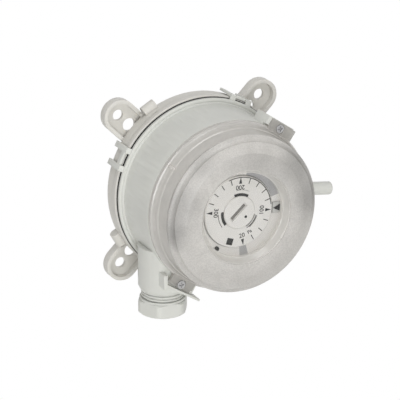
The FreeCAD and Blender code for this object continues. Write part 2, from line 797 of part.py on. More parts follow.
plate_back = membrane_front + plate_gap
plate_front = plate_back + plate_thickness
plate_disc = turned("plate_disc", [
    (0, plate_back),
    (plate_radius, plate_back),
    (plate_radius, plate_front),
    (cup_radius + cup_wall, plate_front),
    (cup_radius + cup_wall, plate_front + cup_height),
    (cup_radius, plate_front + cup_height),
    (cup_radius, plate_front),
    (0, plate_front),
])
push_pin = cylinder("push_pin", push_pin_radius, plate_back, push_pin_tip, push_pin_place, 0)
pin_collar = cylinder("pin_collar", push_pin_radius * 2, plate_back, plate_front + 1.5,
                      push_pin_place, 0)
diaphragm_plate = finish(fuse("plate_solid", [plate_disc, push_pin, pin_collar]),
                         "diaphragm_plate")

# Measuring spring between the plate and its seat

spring_start = plate_front + plate_gap + spring_wire
spring_end = seat_back - plate_gap - spring_wire
coil_body, coil_sketch = new_sketch("coil", "XZ_Plane")
wire_section = Part.Circle(Vector(spring_radius.value, spring_start.value, 0), Vector(0, 0, 1),
                           spring_wire.value)
coil_sketch.addGeometry(wire_section)
wire_rule = Sketcher.Constraint("Radius", 0, spring_wire.value)
wire_rule_index = coil_sketch.addConstraint(wire_rule)
coil_sketch.setExpression(f"Constraints[{wire_rule_index}]", spring_wire.text)
pin_point(coil_sketch, 0, 3, spring_radius, spring_start)
coil_wind = coil_body.newObject("PartDesign::AdditiveHelix", "coil_wind")
coil_wind.Profile = coil_sketch
coil_wind.ReferenceAxis = (coil_sketch, ["V_Axis"])
coil_wind.Mode = "height-turns-angle"
bind(coil_wind, "Height", spring_end - spring_start)
bind(coil_wind, "Turns", spring_turns)
coil_body.Tip = coil_wind
coil = coil_body
pressure_spring = finish(coil, "pressure_spring")

# Spring seat, a nut without rotation that runs in two slots of its guide

seat_front = seat_back + seat_thickness
seat_pieces = [cylinder("seat_disc", seat_radius, seat_back, seat_front)]
for side in range(2):
    seat_pieces.append(radial_box(f"seat_ear_{side}", 90 + 180 * side, seat_radius - 1,
                                  seat_ear_reach, seat_ear_width, seat_back, seat_front))
seat_bore = cylinder("seat_bore", spindle_thread_radius + fit_gap, seat_back - 1, seat_front + 1)
spring_seat = finish(cut("seat_cut", fuse("seat_solid", seat_pieces), [seat_bore]),
                     "spring_seat")

# Setting spindle

collar_front = partition_back - slide_gap
collar_back = collar_front - collar_thickness
seal_groove_end = seal_groove_start + seal_groove_width
setting_spindle = finish(turned("spindle_body", [
    (0, spindle_tip),
    (spindle_thread_radius - 0.4, spindle_tip),
    (spindle_thread_radius, spindle_tip + 0.4),
    (spindle_thread_radius, collar_back),
    (collar_radius, collar_back),
    (collar_radius, collar_front),
    (journal_radius, collar_front),
    (journal_radius, seal_groove_start),
    (seal_groove_radius, seal_groove_start),
    (seal_groove_radius, seal_groove_end),
    (journal_radius, seal_groove_end),
    (journal_radius, journal_end),
    (shaft_radius, journal_end),
    (shaft_radius, shaft_end),
    (0, shaft_end),
]), "setting_spindle")
seal_ring = document.addObject("Part::Torus", "seal_ring")
bind(seal_ring, "Radius1", journal_radius + fit_gap - seal_wire - 0.02)
bind(seal_ring, "Radius2", seal_wire)
place(seal_ring, 0, 0, (seal_groove_start + seal_groove_end) / 2)
spindle_seal_ring = finish(seal_ring, "spindle_seal_ring")

# Setting dial with the screwdriver knob in its middle

dial_disc = turned("dial_disc", [
    (0, dial_roof),
    (shaft_radius + 0.02, dial_roof),
    (shaft_radius + 0.02, dial_hub_back),
    (dial_hub_radius, dial_hub_back),
    (dial_hub_radius, dial_back),
    (dial_radius - dial_bevel, dial_back),
    (dial_radius, dial_back + dial_bevel),
    (dial_radius, dial_face - dial_bevel),
    (dial_radius - dial_bevel, dial_face),
    (knob_radius, dial_face),
    (knob_radius, knob_face - dial_bevel),
    (knob_radius - dial_bevel, knob_face),
    (0, knob_face),
])
driver_slot = document.addObject("Part::Box", "driver_slot")
bind(driver_slot, "Length", driver_slot_length)
bind(driver_slot, "Width", driver_slot_width)
bind(driver_slot, "Height", 2)
slot_half = driver_slot_length / 2
slot_side = driver_slot_width / 2
slot_x = driver_slot_x - slot_half * cosine(driver_slot_angle)
slot_y = driver_slot_y - slot_half * sine(driver_slot_angle)
place(driver_slot, slot_x + slot_side * sine(driver_slot_angle),
      slot_y - slot_side * cosine(driver_slot_angle), driver_slot_floor, angle=driver_slot_angle)
dial_cuts = [driver_slot]
for name, inner, outer, middle, sweep in (
        ("top_slot", dial_slot_inner, dial_slot_outer, top_slot_angle, top_slot_sweep),
        ("left_slot", dial_slot_inner, dial_slot_outer, left_slot_angle, left_slot_sweep),
        ("right_slot", dial_slot_inner, dial_slot_outer, right_slot_angle, right_slot_sweep),
        ("outer_slot", second_slot_inner, second_slot_outer, outer_slot_angle,
         outer_slot_sweep)):
    dial_cuts.append(sector(name, inner, outer, middle, sweep, dial_back - 1, dial_face + 1))
dial_cuts.append(radial_box("dial_window", dial_window_angle, dial_window_inner,
                            dial_window_outer, dial_window_width, dial_back - 1, dial_face + 1))
setting_dial = finish(cut("dial_cut", dial_disc, dial_cuts), "setting_dial")

# Middle housing with clips, wiring well, gland stub, hose tail and posts

groove_half = flange_groove_width / 2
middle_shell = turned("middle_shell", [
    (journal_radius + fit_gap, partition_back),
    (chamber_radius, partition_back),
    (chamber_radius, middle_back),
    (middle_flange_radius, middle_back),
    (middle_flange_radius, middle_flange_front - flange_edge),
    (middle_flange_radius - flange_edge, middle_flange_front),
    (flange_groove_radius + groove_half, middle_flange_front),
    (flange_groove_radius, middle_flange_front - flange_groove_depth),
    (flange_groove_radius - groove_half, middle_flange_front),
    (wall_radius_back, middle_flange_front),
    (wall_radius_front, middle_front),
    (wall_inner_radius, middle_front),
    (wall_inner_radius, partition_front),
    (tower_radius, partition_front),
    (tower_radius, tower_front),
    (journal_radius + fit_gap, tower_front),
])
middle_pieces = [middle_shell]
middle_holes = []
for quarter in range(4):
    angle = clip_angle + 90 * quarter
    middle_pieces.append(sector(f"clip_web_{quarter}", clip_inner_radius, clip_outer_radius,
                                angle, clip_sweep, clip_web_back, clip_web_front))
    for side in (-1, 1):
        shift = clip_prong_offset * side
        middle_pieces.append(radial_box(f"clip_prong_{quarter}_{side}", angle, clip_inner_radius,
                                        clip_outer_radius, clip_prong_width, clip_tip,
                                        clip_web_front, shift))
        middle_pieces.append(radial_box(f"clip_arm_{quarter}_{side}", angle,
                                        middle_flange_radius - 1.5, clip_outer_radius,
                                        clip_prong_width, middle_back,
                                        middle_back + clip_arm_height, shift))
        middle_pieces.append(radial_box(f"clip_neck_{quarter}_{side}", angle, clip_inner_radius,
                                        clip_outer_radius, clip_prong_width,
                                        clip_web_front - 0.5, middle_back + 0.5, shift))

well_block = box("well_block", well_left, well_right, well_bottom, well_top, well_back,
                 partition_front)
well_limit = cylinder("well_limit", chamber_radius + 0.5, well_back, partition_front)
middle_pieces.append(common("well_solid", well_block, well_limit))
well_inside = box("well_inside", well_left + well_wall, well_right - well_wall,
                  well_bottom + well_wall, well_top - well_wall, well_back + well_wall,
                  partition_front + 1)
well_inside_limit = cylinder("well_inside_limit", chamber_radius - 0.3, well_back,
                             partition_front + 1)
middle_holes.append(common("well_hollow", well_inside, well_inside_limit))

gland_parts = [
    upright_rod("gland_boss", gland_boss_radius, gland_x, gland_depth, gland_boss_end,
                well_bottom / 2),
    upright_rod("gland_stub", gland_stub_radius, gland_x, gland_depth, gland_stub_end,
                gland_neck_end + 1),
]
gland_neck = document.addObject("Part::Cone", "gland_neck")
bind(gland_neck, "Radius1", gland_boss_radius)
bind(gland_neck, "Radius2", gland_neck_radius)
bind(gland_neck, "Height", gland_boss_end - gland_neck_end)
place(gland_neck, gland_x, gland_boss_end, gland_depth, axis=Vector(1, 0, 0))
gland_parts.append(gland_neck)
gland_trim = cylinder("gland_trim", chamber_radius, middle_back - 1, middle_front + 1)
middle_pieces.append(cut("gland_outside", fuse("gland_solid", gland_parts), [gland_trim]))
middle_holes.append(upright_rod("gland_bore", gland_bore_radius, gland_x, gland_depth,
                                gland_stub_end - 1, well_top - well_wall - 3))

middle_pieces.append(tube_port("low_port", port_angle, chamber_radius + 1, low_port_reach,
                               low_port_depth))
middle_holes.append(radial_rod("low_port_bore", port_bore, port_angle, chamber_radius - 2,
                               low_port_reach + 1, low_port_depth))

upper_lug_end = upper_lug_shift + upper_lug_width / 2
middle_pieces.append(radial_box("upper_lug", upper_lug_angle, chamber_radius + 1,
                                upper_lug_reach, upper_lug_width, upper_lug_back, middle_front,
                                upper_lug_shift))
middle_pieces.append(radial_box("hook", upper_lug_angle, hook_inner, upper_lug_reach, hook_width,
                                middle_front - 0.5, hook_front, upper_lug_end - hook_width / 2))
middle_pieces.append(radial_box("lower_lug", lug_angle, chamber_radius + 1, lug_reach, lug_width,
                                lug_back, middle_front, lug_shift))
middle_pieces.append(radial_box("lower_lip", lug_angle, lip_inner, lug_reach, lip_width,
                                lug_back, lip_front, lip_shift))
middle_pieces.append(radial_box("nub", lug_angle, lug_reach - 0.5, lug_reach + nub_rise,
                                nub_width, nub_back, nub_front, nub_shift))
middle_pieces.append(box("side_plate", side_plate_left, side_plate_right, side_plate_bottom,
                         side_plate_top, side_plate_back, lip_front))
middle_holes.append(cut("gasket_groove",
                        cylinder("groove_full", gasket_outer + slide_gap, gasket_back,
                                 middle_front + 1),
                        [cylinder("groove_core", gasket_inner - slide_gap, gasket_back - 1,
                                  middle_front + 2)]))
screw_places = (("upper", upper_screw_place, upper_screw_angle),
                ("lower", lower_screw_place, lower_screw_angle))
for name, distance, angle in screw_places:
    middle_holes.append(cylinder(f"{name}_screw_hole", cover_screw_radius + fit_gap,
                                 cover_screw_end - screw_tip_gap, middle_front + 1,
                                 distance * cosine(angle), distance * sine(angle)))

guide_inner = seat_radius + slide_gap
guide_outer = guide_inner + guide_wall
guide_slots = [
    cylinder("guide_hole", guide_inner, guide_back - 1, partition_back),
    box("guide_slot", -seat_ear_width / 2 - slide_gap, seat_ear_width / 2 + slide_gap,
        -guide_outer - 1, guide_outer + 1, guide_back - 1, partition_back - 1),
]
middle_pieces.append(cut("spring_guide", cylinder("guide_full", guide_outer, guide_back,
                                                  partition_back + 0.5), guide_slots))
post_angles = [post_angle_first, post_angle_second, post_angle_third]
for number, angle in enumerate(post_angles):
    post_x = post_place * cosine(angle)
    post_y = post_place * sine(angle)
    middle_pieces.append(cylinder(f"post_{number}", post_radius, partition_front - 0.5,
                                  bridge_back, post_x, post_y))
    middle_holes.append(cylinder(f"post_hole_{number}", bridge_screw_radius,
                                 bridge_screw_end - 1, bridge_back + 1, post_x, post_y))
middle_holes.append(cylinder("spindle_bore", journal_radius + fit_gap, partition_back - 1,
                             tower_front + 1))
middle_holes.append(cylinder("push_pin_bore", push_pin_radius + slide_gap, partition_back - 1,
                             partition_front + 1, push_pin_place, 0))
middle_housing = finish(cut("middle_cut", fuse("middle_solid", middle_pieces), middle_holes),
                        "middle_housing")

# Lip seal where the push pin leaves the pressure chamber

pin_seal_front = partition_front + pin_seal_height
pin_seal_body = turned("pin_seal_body", [
    (push_pin_radius + 0.4, partition_front),
    (pin_seal_radius, partition_front),
    (pin_seal_radius, partition_front + 0.6),
    (pin_seal_lip, partition_front + 0.9),
    (pin_seal_lip, pin_seal_front),
    (push_pin_radius + fit_gap, pin_seal_front),
    (push_pin_radius + fit_gap, pin_seal_front - 0.5),
    (push_pin_radius + 0.4, pin_seal_front - 0.9),
])
place(pin_seal_body, push_pin_place, 0, 0)
push_pin_seal = finish(pin_seal_body, "push_pin_seal")

# Mechanism bridge

bridge_pieces = [cylinder("bridge_disc", bridge_radius, bridge_back, bridge_front)]
bridge_holes = [cylinder("bridge_middle_hole", bridge_hole, bridge_back - 1, bridge_front + 1)]
bridge_screw_pieces = []
bridge_screw_slots = []
for number, angle in enumerate(post_angles):
    post_x = post_place * cosine(angle)
    post_y = post_place * sine(angle)
    bridge_pieces.append(radial_box(f"bridge_arm_{number}", angle, bridge_hole + 1, post_place,
                                    bridge_arm_width, bridge_back, bridge_front))
    bridge_pieces.append(cylinder(f"bridge_pad_{number}", bridge_arm_width / 2, bridge_back,
                                  bridge_front, post_x, post_y))
    bridge_holes.append(cylinder(f"bridge_hole_{number}", bridge_screw_radius + slide_gap,
                                 bridge_back - 1, bridge_front + 1, post_x, post_y))
    head_top = bridge_front + bridge_screw_head_height
    shank = cylinder(f"bridge_shank_{number}", bridge_screw_radius, bridge_screw_end,
                     head_top - 0.2, post_x, post_y)
    head = cylinder(f"bridge_head_{number}", bridge_screw_head, bridge_front, head_top,
                    post_x, post_y)
    bridge_screw_pieces += [shank, head]
    bridge_screw_slots.append(box(f"bridge_slot_{number}", post_x - bridge_screw_head - 1,
                                  post_x + bridge_screw_head + 1,
                                  post_y - screw_slot_width / 2, post_y + screw_slot_width / 2,
                                  head_top - screw_slot_depth, head_top + 1))
bridge_pieces.append(radial_box("pointer_pad", pad_angle, pad_inner, pad_outer, pad_width,
                                bridge_front - 0.5, pad_front))
hanger_back_y = switch_width / 2
bridge_pieces.append(box("switch_hanger", switch_left + 1, switch_left + switch_length - 1,
                         hanger_back_y, hanger_back_y + hanger_thickness, hanger_back,
                         bridge_back + 0.5))
bridge_holes.append(cylinder("sight_hole", sight_hole_radius, bridge_back - 1, bridge_front + 1,
                             sight_hole_place * cosine(sight_hole_angle),
                             sight_hole_place * sine(sight_hole_angle)))
switch_screw_places = [switch_left + switch_screw_inset,
                       switch_left + switch_length - switch_screw_inset]
switch_screw_pieces = []
switch_holes = []
for number, screw_x in enumerate(switch_screw_places):
    bridge_holes.append(upright_rod(f"hanger_hole_{number}", switch_screw_radius, screw_x,
                                    switch_screw_depth, -hanger_back_y - 1,
                                    hanger_back_y + hanger_thickness + 1))
    switch_holes.append(upright_rod(f"switch_hole_{number}", switch_screw_radius, screw_x,
                                    switch_screw_depth, -hanger_back_y - 1,
                                    hanger_back_y + 1))
    switch_screw_pieces.append(upright_rod(f"switch_shank_{number}", switch_screw_radius,
                                           screw_x, switch_screw_depth, -hanger_back_y - 0.5,
                                           hanger_back_y + hanger_thickness))
    switch_screw_pieces.append(upright_rod(f"switch_head_{number}", switch_screw_head, screw_x,
                                           switch_screw_depth,
                                           -hanger_back_y - switch_screw_head_height,
                                           -hanger_back_y))
mechanism_bridge = finish(cut("bridge_cut", fuse("bridge_solid", bridge_pieces), bridge_holes),
                          "mechanism_bridge")
bridge_screws = finish(cut("bridge_screw_cut", fuse("bridge_screw_solid", bridge_screw_pieces),
                           bridge_screw_slots), "bridge_screws")
switch_screws = finish(fuse("switch_screw_solid", switch_screw_pieces), "switch_screws")

pointer_shape = padded("pointer_shape", [
    (pointer_inner, 0),
    (pointer_outer, -pointer_half_width),
    (pointer_outer, pointer_half_width),
], pointer_thickness)
place(pointer_shape, 0, 0, pad_front, angle=pad_angle)
setting_pointer = finish(pointer_shape, "setting_pointer")

# Snap switch, its plunger, lever and hinge pin

switch_case = box("switch_case", switch_left, switch_left + switch_length, -switch_width / 2,
                  switch_width / 2, switch_back, switch_front)
hinge_lug = box("hinge_lug", hinge_place - 1, hinge_place + 1, -hinge_lug_width / 2,
                hinge_lug_width / 2, hinge_depth - hinge_pin_radius - hinge_skin,
                switch_back + 0.5)
hinge_bore = upright_rod("hinge_bore", hinge_pin_radius, hinge_place, hinge_depth,
                         -hinge_lug_width, hinge_lug_width)
plunger_bore = cylinder("plunger_bore", plunger_radius + fit_gap, switch_back - 1,
                        plunger_bore_top, plunger_place, 0)
switch_body = finish(cut("switch_cut", fuse("switch_solid", [switch_case, hinge_lug]),
                         switch_holes + [hinge_bore, plunger_bore]), "switch_body")
switch_plunger = finish(cylinder("plunger", plunger_radius, plunger_tip, plunger_top,
                                 plunger_place, 0), "switch_plunger")
lever_front = lever_back + lever_thickness
lever_left = hinge_place - 1
lever_pieces = [box("lever_blade", lever_left, lever_end, -lever_width / 2, lever_width / 2,
                    lever_back, lever_front)]
lever_ear_inner = hinge_lug_width / 2 + slide_gap
for side in (-1, 1):
    near = lever_ear_inner if side > 0 else -lever_width / 2
    far = lever_width / 2 if side > 0 else -lever_ear_inner
    lever_pieces.append(box(f"lever_ear_{side}", lever_left, hinge_place + 1, near, far,
                            lever_back, hinge_depth + 0.6))
lever_bore = upright_rod("lever_bore", hinge_pin_radius + fit_gap, hinge_place, hinge_depth,
                         -lever_width, lever_width)
switch_lever = finish(cut("lever_cut", fuse("lever_solid", lever_pieces), [lever_bore]),
                      "switch_lever")
lever_pin = finish(upright_rod("lever_pin_rod", hinge_pin_radius, hinge_place, hinge_depth,
                               -lever_width / 2 - 0.2, lever_width / 2 + 0.2), "lever_pin")

# Terminal block, clamps, clamp screws and straps

block_case = box("block_case", block_left, block_right, block_bottom, block_top,
                 partition_front, block_front)
block_cuts = []
clamp_bottom = terminal_y - clamp_length / 2
clamp_top = terminal_y + clamp_length / 2
clamp_nodes = []
clamp_screw_nodes = []
strap_nodes = []
for number in range(3):
    clamp_x = terminal_first + terminal_pitch * number
    clamp_left = clamp_x - clamp_width / 2
    clamp_right = clamp_x + clamp_width / 2
    block_cuts.append(box(f"pocket_{number}", clamp_left - pocket_gap, clamp_right + pocket_gap,
                          clamp_bottom - pocket_gap, clamp_top + pocket_gap, clamp_back,
                          block_front + 1))
    block_cuts.append(upright_rod(f"wire_entry_{number}", wire_entry_radius, clamp_x,
                                  wire_hole_depth, block_bottom - 1, clamp_bottom + 1))
    block_cuts.append(box(f"strap_notch_{number}", clamp_x - strap_width / 2 - pocket_gap,
                          clamp_x + strap_width / 2 + pocket_gap, clamp_top, block_top + 1,
                          strap_depth - pocket_gap, block_front + 1))
    clamp_block = box(f"clamp_block_{number}", clamp_left, clamp_right, clamp_bottom, clamp_top,
                      clamp_back, clamp_front)
    wire_hole = upright_rod(f"wire_hole_{number}", wire_hole_radius, clamp_x, wire_hole_depth,
                            clamp_bottom - 1, clamp_top - 1)
    clamp_bore = cylinder(f"clamp_bore_{number}", clamp_screw_radius + fit_gap, wire_hole_depth,
                          clamp_front + 1, clamp_x, terminal_y)
    clamp_nodes.append(finish(cut(f"clamp_cut_{number}", clamp_block, [wire_hole, clamp_bore]),
                              f"terminal_clamp_{number + 1}"))
    shank = cylinder(f"clamp_shank_{number}", clamp_screw_radius, clamp_screw_tip,
                     clamp_screw_top - 0.5, clamp_x, terminal_y)
    head = cylinder(f"clamp_head_{number}", clamp_screw_head, clamp_screw_under,
                    clamp_screw_top, clamp_x, terminal_y)
    slot = box(f"clamp_slot_{number}", clamp_x - clamp_screw_head - 1,
               clamp_x + clamp_screw_head + 1, terminal_y - screw_slot_width / 2,
               terminal_y + screw_slot_width / 2, clamp_screw_top - screw_slot_depth,
               clamp_screw_top + 1)
    clamp_screw_nodes.append(finish(cut(f"clamp_screw_cut_{number}",
                                        fuse(f"clamp_screw_solid_{number}", [shank, head]),
                                        [slot]), f"terminal_screw_{number + 1}"))
    lane = strap_lane_first + strap_lane_step * number
    tag_x = strap_tag_first + strap_tag_step * number
    half = strap_width / 2
    strap_front = strap_depth + strap_thickness
    strap_legs = [
        box(f"strap_foot_{number}", clamp_x - half, clamp_x + half, clamp_top, lane + half,
            strap_depth, strap_front),
        box(f"strap_run_{number}", clamp_x - half, tag_x + half, lane - half, lane + half,
            strap_depth, strap_front),
        box(f"strap_tag_{number}", tag_x - half, tag_x + half, lane - half, -switch_width / 2,
            strap_depth, strap_front),
    ]
    strap_nodes.append(finish(fuse(f"strap_solid_{number}", strap_legs),
                              f"contact_strap_{number + 1}"))
terminal_block = finish(cut("block_cut", block_case, block_cuts), "terminal_block")

# Cable gland: rubber seal, clamp ring and cap nut

gland_seal = finish(cut("gland_seal_cut",
                        upright_rod("gland_seal_full", seal_outer_radius, gland_x, gland_depth,
                                    seal_bottom, seal_top),
                        [upright_rod("gland_seal_hole", seal_inner_radius, gland_x, gland_depth,
                                     seal_bottom - 1, seal_top + 1)]), "gland_seal")
gland_clamp_ring = finish(cut("clamp_ring_cut",
                              upright_rod("clamp_ring_full", clamp_ring_radius, gland_x,
                                          gland_depth, clamp_ring_bottom, seal_bottom),
                              [upright_rod("clamp_ring_hole", clamp_ring_bore, gland_x,
                                           gland_depth, clamp_ring_bottom - 1,
                                           seal_bottom + 1)]), "gland_clamp_ring")
nut_circle = nut_across_flats / (2 * cosine(30))
nut_prism = document.addObject("Part::Prism", "nut_prism")
nut_prism.Polygon = 6
bind(nut_prism, "Circumradius", nut_circle)
bind(nut_prism, "Height", nut_top - nut_collar_height - nut_bottom)
nut_prism.Placement = FreeCAD.Placement(Vector(0, 0, 0), Rotation(Vector(0, 0, 1), 1))
bind(nut_prism, "Placement.Rotation.Angle", nut_turn)
nut_round = turned("nut_round", [
    (0, 0),
    (nut_corner_radius - nut_chamfer, 0),
    (nut_corner_radius, nut_chamfer),
    (nut_corner_radius, nut_top - nut_bottom),
    (0, nut_top - nut_bottom),
])
nut_collar = cylinder("nut_collar", nut_collar_radius, nut_top - nut_bottom - nut_collar_height
                      - 0.5, nut_top - nut_bottom)
nut_inside = cylinder("nut_inside", gland_stub_radius + slide_gap, nut_floor,
                      nut_top - nut_bottom + 1)
nut_hole = cylinder("nut_hole", nut_hole_radius, -1, nut_floor + 1)
nut_blank = fuse("nut_blank", [common("nut_hexagon", nut_prism, nut_round), nut_collar])
nut_cut = cut("nut_cut", nut_blank, [nut_inside, nut_hole])
nut_cut.Placement = FreeCAD.Placement(Vector(0, 0, 0), Rotation(Vector(1, 0, 0), -90))
bind(nut_cut, "Placement.Base.x", gland_x)
bind(nut_cut, "Placement.Base.y", nut_bottom)
bind(nut_cut, "Placement.Base.z", gland_depth)
gland_nut = finish(nut_cut, "gland_nut")

# Cover with its window, ears and screws

inner_side = cover_side_radius_front - cover_wall
cover_shell = turned("cover_shell", [
    (0, pane_back),
    (cover_lip_radius + 0.1, pane_back),
    (cover_lip_radius + cover_wall, cover_lip_depth - cover_wall),
    (cover_edge_radius, cover_edge_depth - cover_wall),
    (cover_corner_radius - cover_corner_round - 1, cover_corner_depth - cover_wall),
    (inner_side, cover_corner_start - 1),
    (inner_side, cover_side_start),
    (inner_side + 0.8, cover_step_front),
    (wall_inner_radius, cover_rim_front - 0.4),
    (wall_inner_radius, cover_back),
    (wall_radius_front, cover_back),
    (wall_radius_front, cover_rim_front, cover_rim_curve),
    (cover_step_radius, cover_step_front),
    (cover_bead_radius, cover_bead_front),
    (cover_side_radius_back, cover_side_start),
    (cover_side_radius_front, cover_crease_depth),
    (cover_crease_radius, cover_crease_depth + cover_crease_width / 2),
    (cover_side_radius_front, cover_crease_depth + cover_crease_width),
    (cover_corner_radius, cover_corner_start, cover_corner_round),
    (cover_corner_radius - cover_corner_round, cover_corner_depth, cover_ring_curve),
    (cover_edge_radius, cover_edge_depth),
    (cover_lip_radius + cover_lip_round, cover_lip_depth, cover_lip_round),
    (cover_lip_radius, cover_lip_depth - cover_lip_round),
    (pane_radius, pane_front),
    (0, pane_front),
])
cover_pieces = [
    cover_shell,
    radial_box("upper_ear", ear_angle, ear_root, ear_reach, ear_width, cover_back, ear_front,
               ear_shift),
    radial_box("lower_ear", lower_ear_angle, ear_root, lower_ear_reach, lower_ear_width,
               cover_back, ear_front, lower_ear_shift),
    radial_box("cover_rib", cover_rib_angle, inner_side + 0.8,
               wall_radius_front - cover_rib_set_back, cover_rib_width, cover_rim_front - 0.5,
               cover_side_start),
]
cover_holes = []
cover_screw_nodes = []
screw_head_back = ear_front - screw_sink + slide_gap
screw_head_front = screw_head_back + cover_screw_head_height
cover_holes.append(radial_box("ear_channel", lower_ear_angle,
                              lower_ear_reach - channel_width, lower_ear_reach + 1,
                              lower_ear_width + 4, ear_front - channel_depth, ear_front + 1,
                              lower_ear_shift))
for name, distance, angle in screw_places:
    screw_x = distance * cosine(angle)
    screw_y = distance * sine(angle)
    cover_holes.append(cylinder(f"{name}_ear_hole", cover_screw_radius + fit_gap,
                                cover_back - 1, ear_front + 1, screw_x, screw_y))
    cover_holes.append(cylinder(f"{name}_head_room", cover_screw_head + screw_pocket_gap,
                                ear_front - screw_sink, cover_side_start + 3, screw_x,
                                screw_y))
    screw_shank = cylinder(f"{name}_screw_shank", cover_screw_radius, cover_screw_end,
                           screw_head_front - 0.5, screw_x, screw_y)
    screw_head = cylinder(f"{name}_screw_head", cover_screw_head, screw_head_back,
                          screw_head_front, screw_x, screw_y)
    cross = []
    for turn_angle in (0, 90):
        arm = radial_box(f"{name}_cross_{turn_angle}", turn_angle, -screw_cross_half,
                         screw_cross_half, screw_cross_width,
                         screw_head_front - screw_cross_depth, screw_head_front + 1)
        if turn_angle == 0:
            place(arm, screw_x - screw_cross_half, screw_y - screw_cross_width / 2,
                  screw_head_front - screw_cross_depth)
        else:
            place(arm, screw_x + screw_cross_width / 2, screw_y - screw_cross_half,
                  screw_head_front - screw_cross_depth, angle=90)
        cross.append(arm)
    cover_screw_nodes.append(finish(cut(f"{name}_screw_cut",
                                        fuse(f"{name}_screw_solid", [screw_shank, screw_head]),
                                        cross), f"cover_screw_{name}"))
cover = finish(cut("cover_cut", fuse("cover_solid", cover_pieces), cover_holes), "cover")
cover_gasket = finish(cut("gasket_cut", cylinder("gasket_full", gasket_outer, gasket_back,
                                                 gasket_front),
                          [cylinder("gasket_hole", gasket_inner, gasket_back - 1,
                                    gasket_front + 1)]), "cover_gasket")

# Check everything, then write each piece

document.recompute()
for item in document.Objects:
    if "Invalid" in item.State or "Error" in item.State:
        raise RuntimeError(f"{item.Name} ({item.Label}) did not recompute: {item.State}")
for node in nodes:
    if node.Shape.isNull() or not node.Shape.isValid():
        raise RuntimeError(f"{node.Label} has no valid shape")
for node in nodes:
    node.Shape.exportStep(f"parts/{node.Label}.step")
    solids = len(node.Shape.Solids)
    print(f"{node.Label}: {solids} solid(s), {node.Shape.Volume:.1f} mm3")
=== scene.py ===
import json
import logging
import math
from abc import ABC, abstractmethod
from dataclasses import dataclass
from enum import Enum, IntEnum
from typing import Callable, Optional, Sequence, Union

import bmesh
import bpy
from mathutils import Matrix, Vector

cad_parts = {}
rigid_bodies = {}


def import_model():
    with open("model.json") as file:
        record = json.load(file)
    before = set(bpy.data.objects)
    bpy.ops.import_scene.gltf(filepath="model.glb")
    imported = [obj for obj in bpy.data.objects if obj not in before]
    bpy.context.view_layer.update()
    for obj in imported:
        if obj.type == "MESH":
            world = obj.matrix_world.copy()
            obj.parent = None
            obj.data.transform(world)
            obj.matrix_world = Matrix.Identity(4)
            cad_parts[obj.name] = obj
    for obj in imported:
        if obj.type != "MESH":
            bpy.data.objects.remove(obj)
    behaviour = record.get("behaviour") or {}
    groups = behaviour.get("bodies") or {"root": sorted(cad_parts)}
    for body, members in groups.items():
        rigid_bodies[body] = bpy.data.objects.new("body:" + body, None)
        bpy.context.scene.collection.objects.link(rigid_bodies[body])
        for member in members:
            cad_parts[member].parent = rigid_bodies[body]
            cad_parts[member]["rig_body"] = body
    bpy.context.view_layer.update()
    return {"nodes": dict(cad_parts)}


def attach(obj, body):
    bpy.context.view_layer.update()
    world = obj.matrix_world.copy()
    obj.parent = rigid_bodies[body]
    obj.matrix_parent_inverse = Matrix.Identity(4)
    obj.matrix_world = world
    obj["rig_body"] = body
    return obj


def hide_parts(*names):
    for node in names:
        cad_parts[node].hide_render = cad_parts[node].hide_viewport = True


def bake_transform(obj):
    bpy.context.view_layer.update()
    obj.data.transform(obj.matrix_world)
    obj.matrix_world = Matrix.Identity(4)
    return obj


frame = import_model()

LOG = logging.getLogger("pressure_switch")

MM = 0.001
Point = tuple[float, float]
Object = bpy.types.Object
Tree = bpy.types.NodeTree
Node = bpy.types.Node
Socket = bpy.types.NodeSocket
Source = Union[Node, Socket]
Part = Union[float, Source]
Vert = bmesh.types.BMVert

# Every piece is drawn lying on its back in millimetres, x right, y up and z out of the wall.
STAND_UP = Matrix.Rotation(math.radians(90), 4, "X") @ Matrix.Scale(MM, 4)


def polar(radius: float, angle: float) -> Point:
    """Give the x and y of a point.

    Args:
        radius: Distance from the middle, in mm.
        angle: Angle from x towards y, in degrees.

    Returns:
        The point, in mm.
    """
    turn = math.radians(angle)
    return radius * math.cos(turn), radius * math.sin(turn)


def spin(angle: float) -> Matrix:
    """Give the matrix that turns about z by an angle in degrees."""
    return Matrix.Rotation(math.radians(angle), 4, "Z")


def shift(x: float, y: float, z: float = 0.0) -> Matrix:
    """Give the matrix that moves by x, y and z."""
    return Matrix.Translation((x, y, z))


def linear(code: str) -> tuple[float, float, float, float]:
    """Turn an sRGB hex colour into the linear colour that a shader takes.

    Args:
        code: Six hex digits.

    Returns:
        Linear red, green, blue and an alpha of one.
    """
    shares = [int(code[place:place + 2], 16) / 255 for place in (0, 2, 4)]
    made = [s / 12.92 if s <= 0.04045 else ((s + 0.055) / 1.055) ** 2.4 for s in shares]
    return made[0], made[1], made[2], 1.0


def bend(start: Point, end: Point, radius: float, steps: int) -> list[Point]:
    """Give the points of an arc between two points, the last one left out.

    Args:
        start: First point.
        end: Last point.
        radius: Arc radius, above zero where the arc bulges to the left of the way.
        steps: Number of straight pieces.

    Returns:
        The arc's points from the first.
    """
    a, b = Vector(start), Vector(end)
    half = (b - a) / 2
    drop = math.sqrt(max(radius ** 2 - half.length_squared, 0.0)) * math.copysign(1, radius)
    centre = a + half - Vector((-half.y, half.x)).normalized() * drop
    first, last = (math.atan2(p.y - centre.y, p.x - centre.x) for p in (a, b))
    sweep = (last - first + math.pi) % math.tau - math.pi
    spokes = (polar(abs(radius), math.degrees(first + sweep * step / steps))
              for step in range(steps))
    return [(centre.x + x, centre.y + y) for x, y in spokes]


# Shader building


def outlet(source: Source) -> Socket:
    """Give a node's first output, or a socket as it is."""
    return source.outputs[0] if isinstance(source, Node) else source


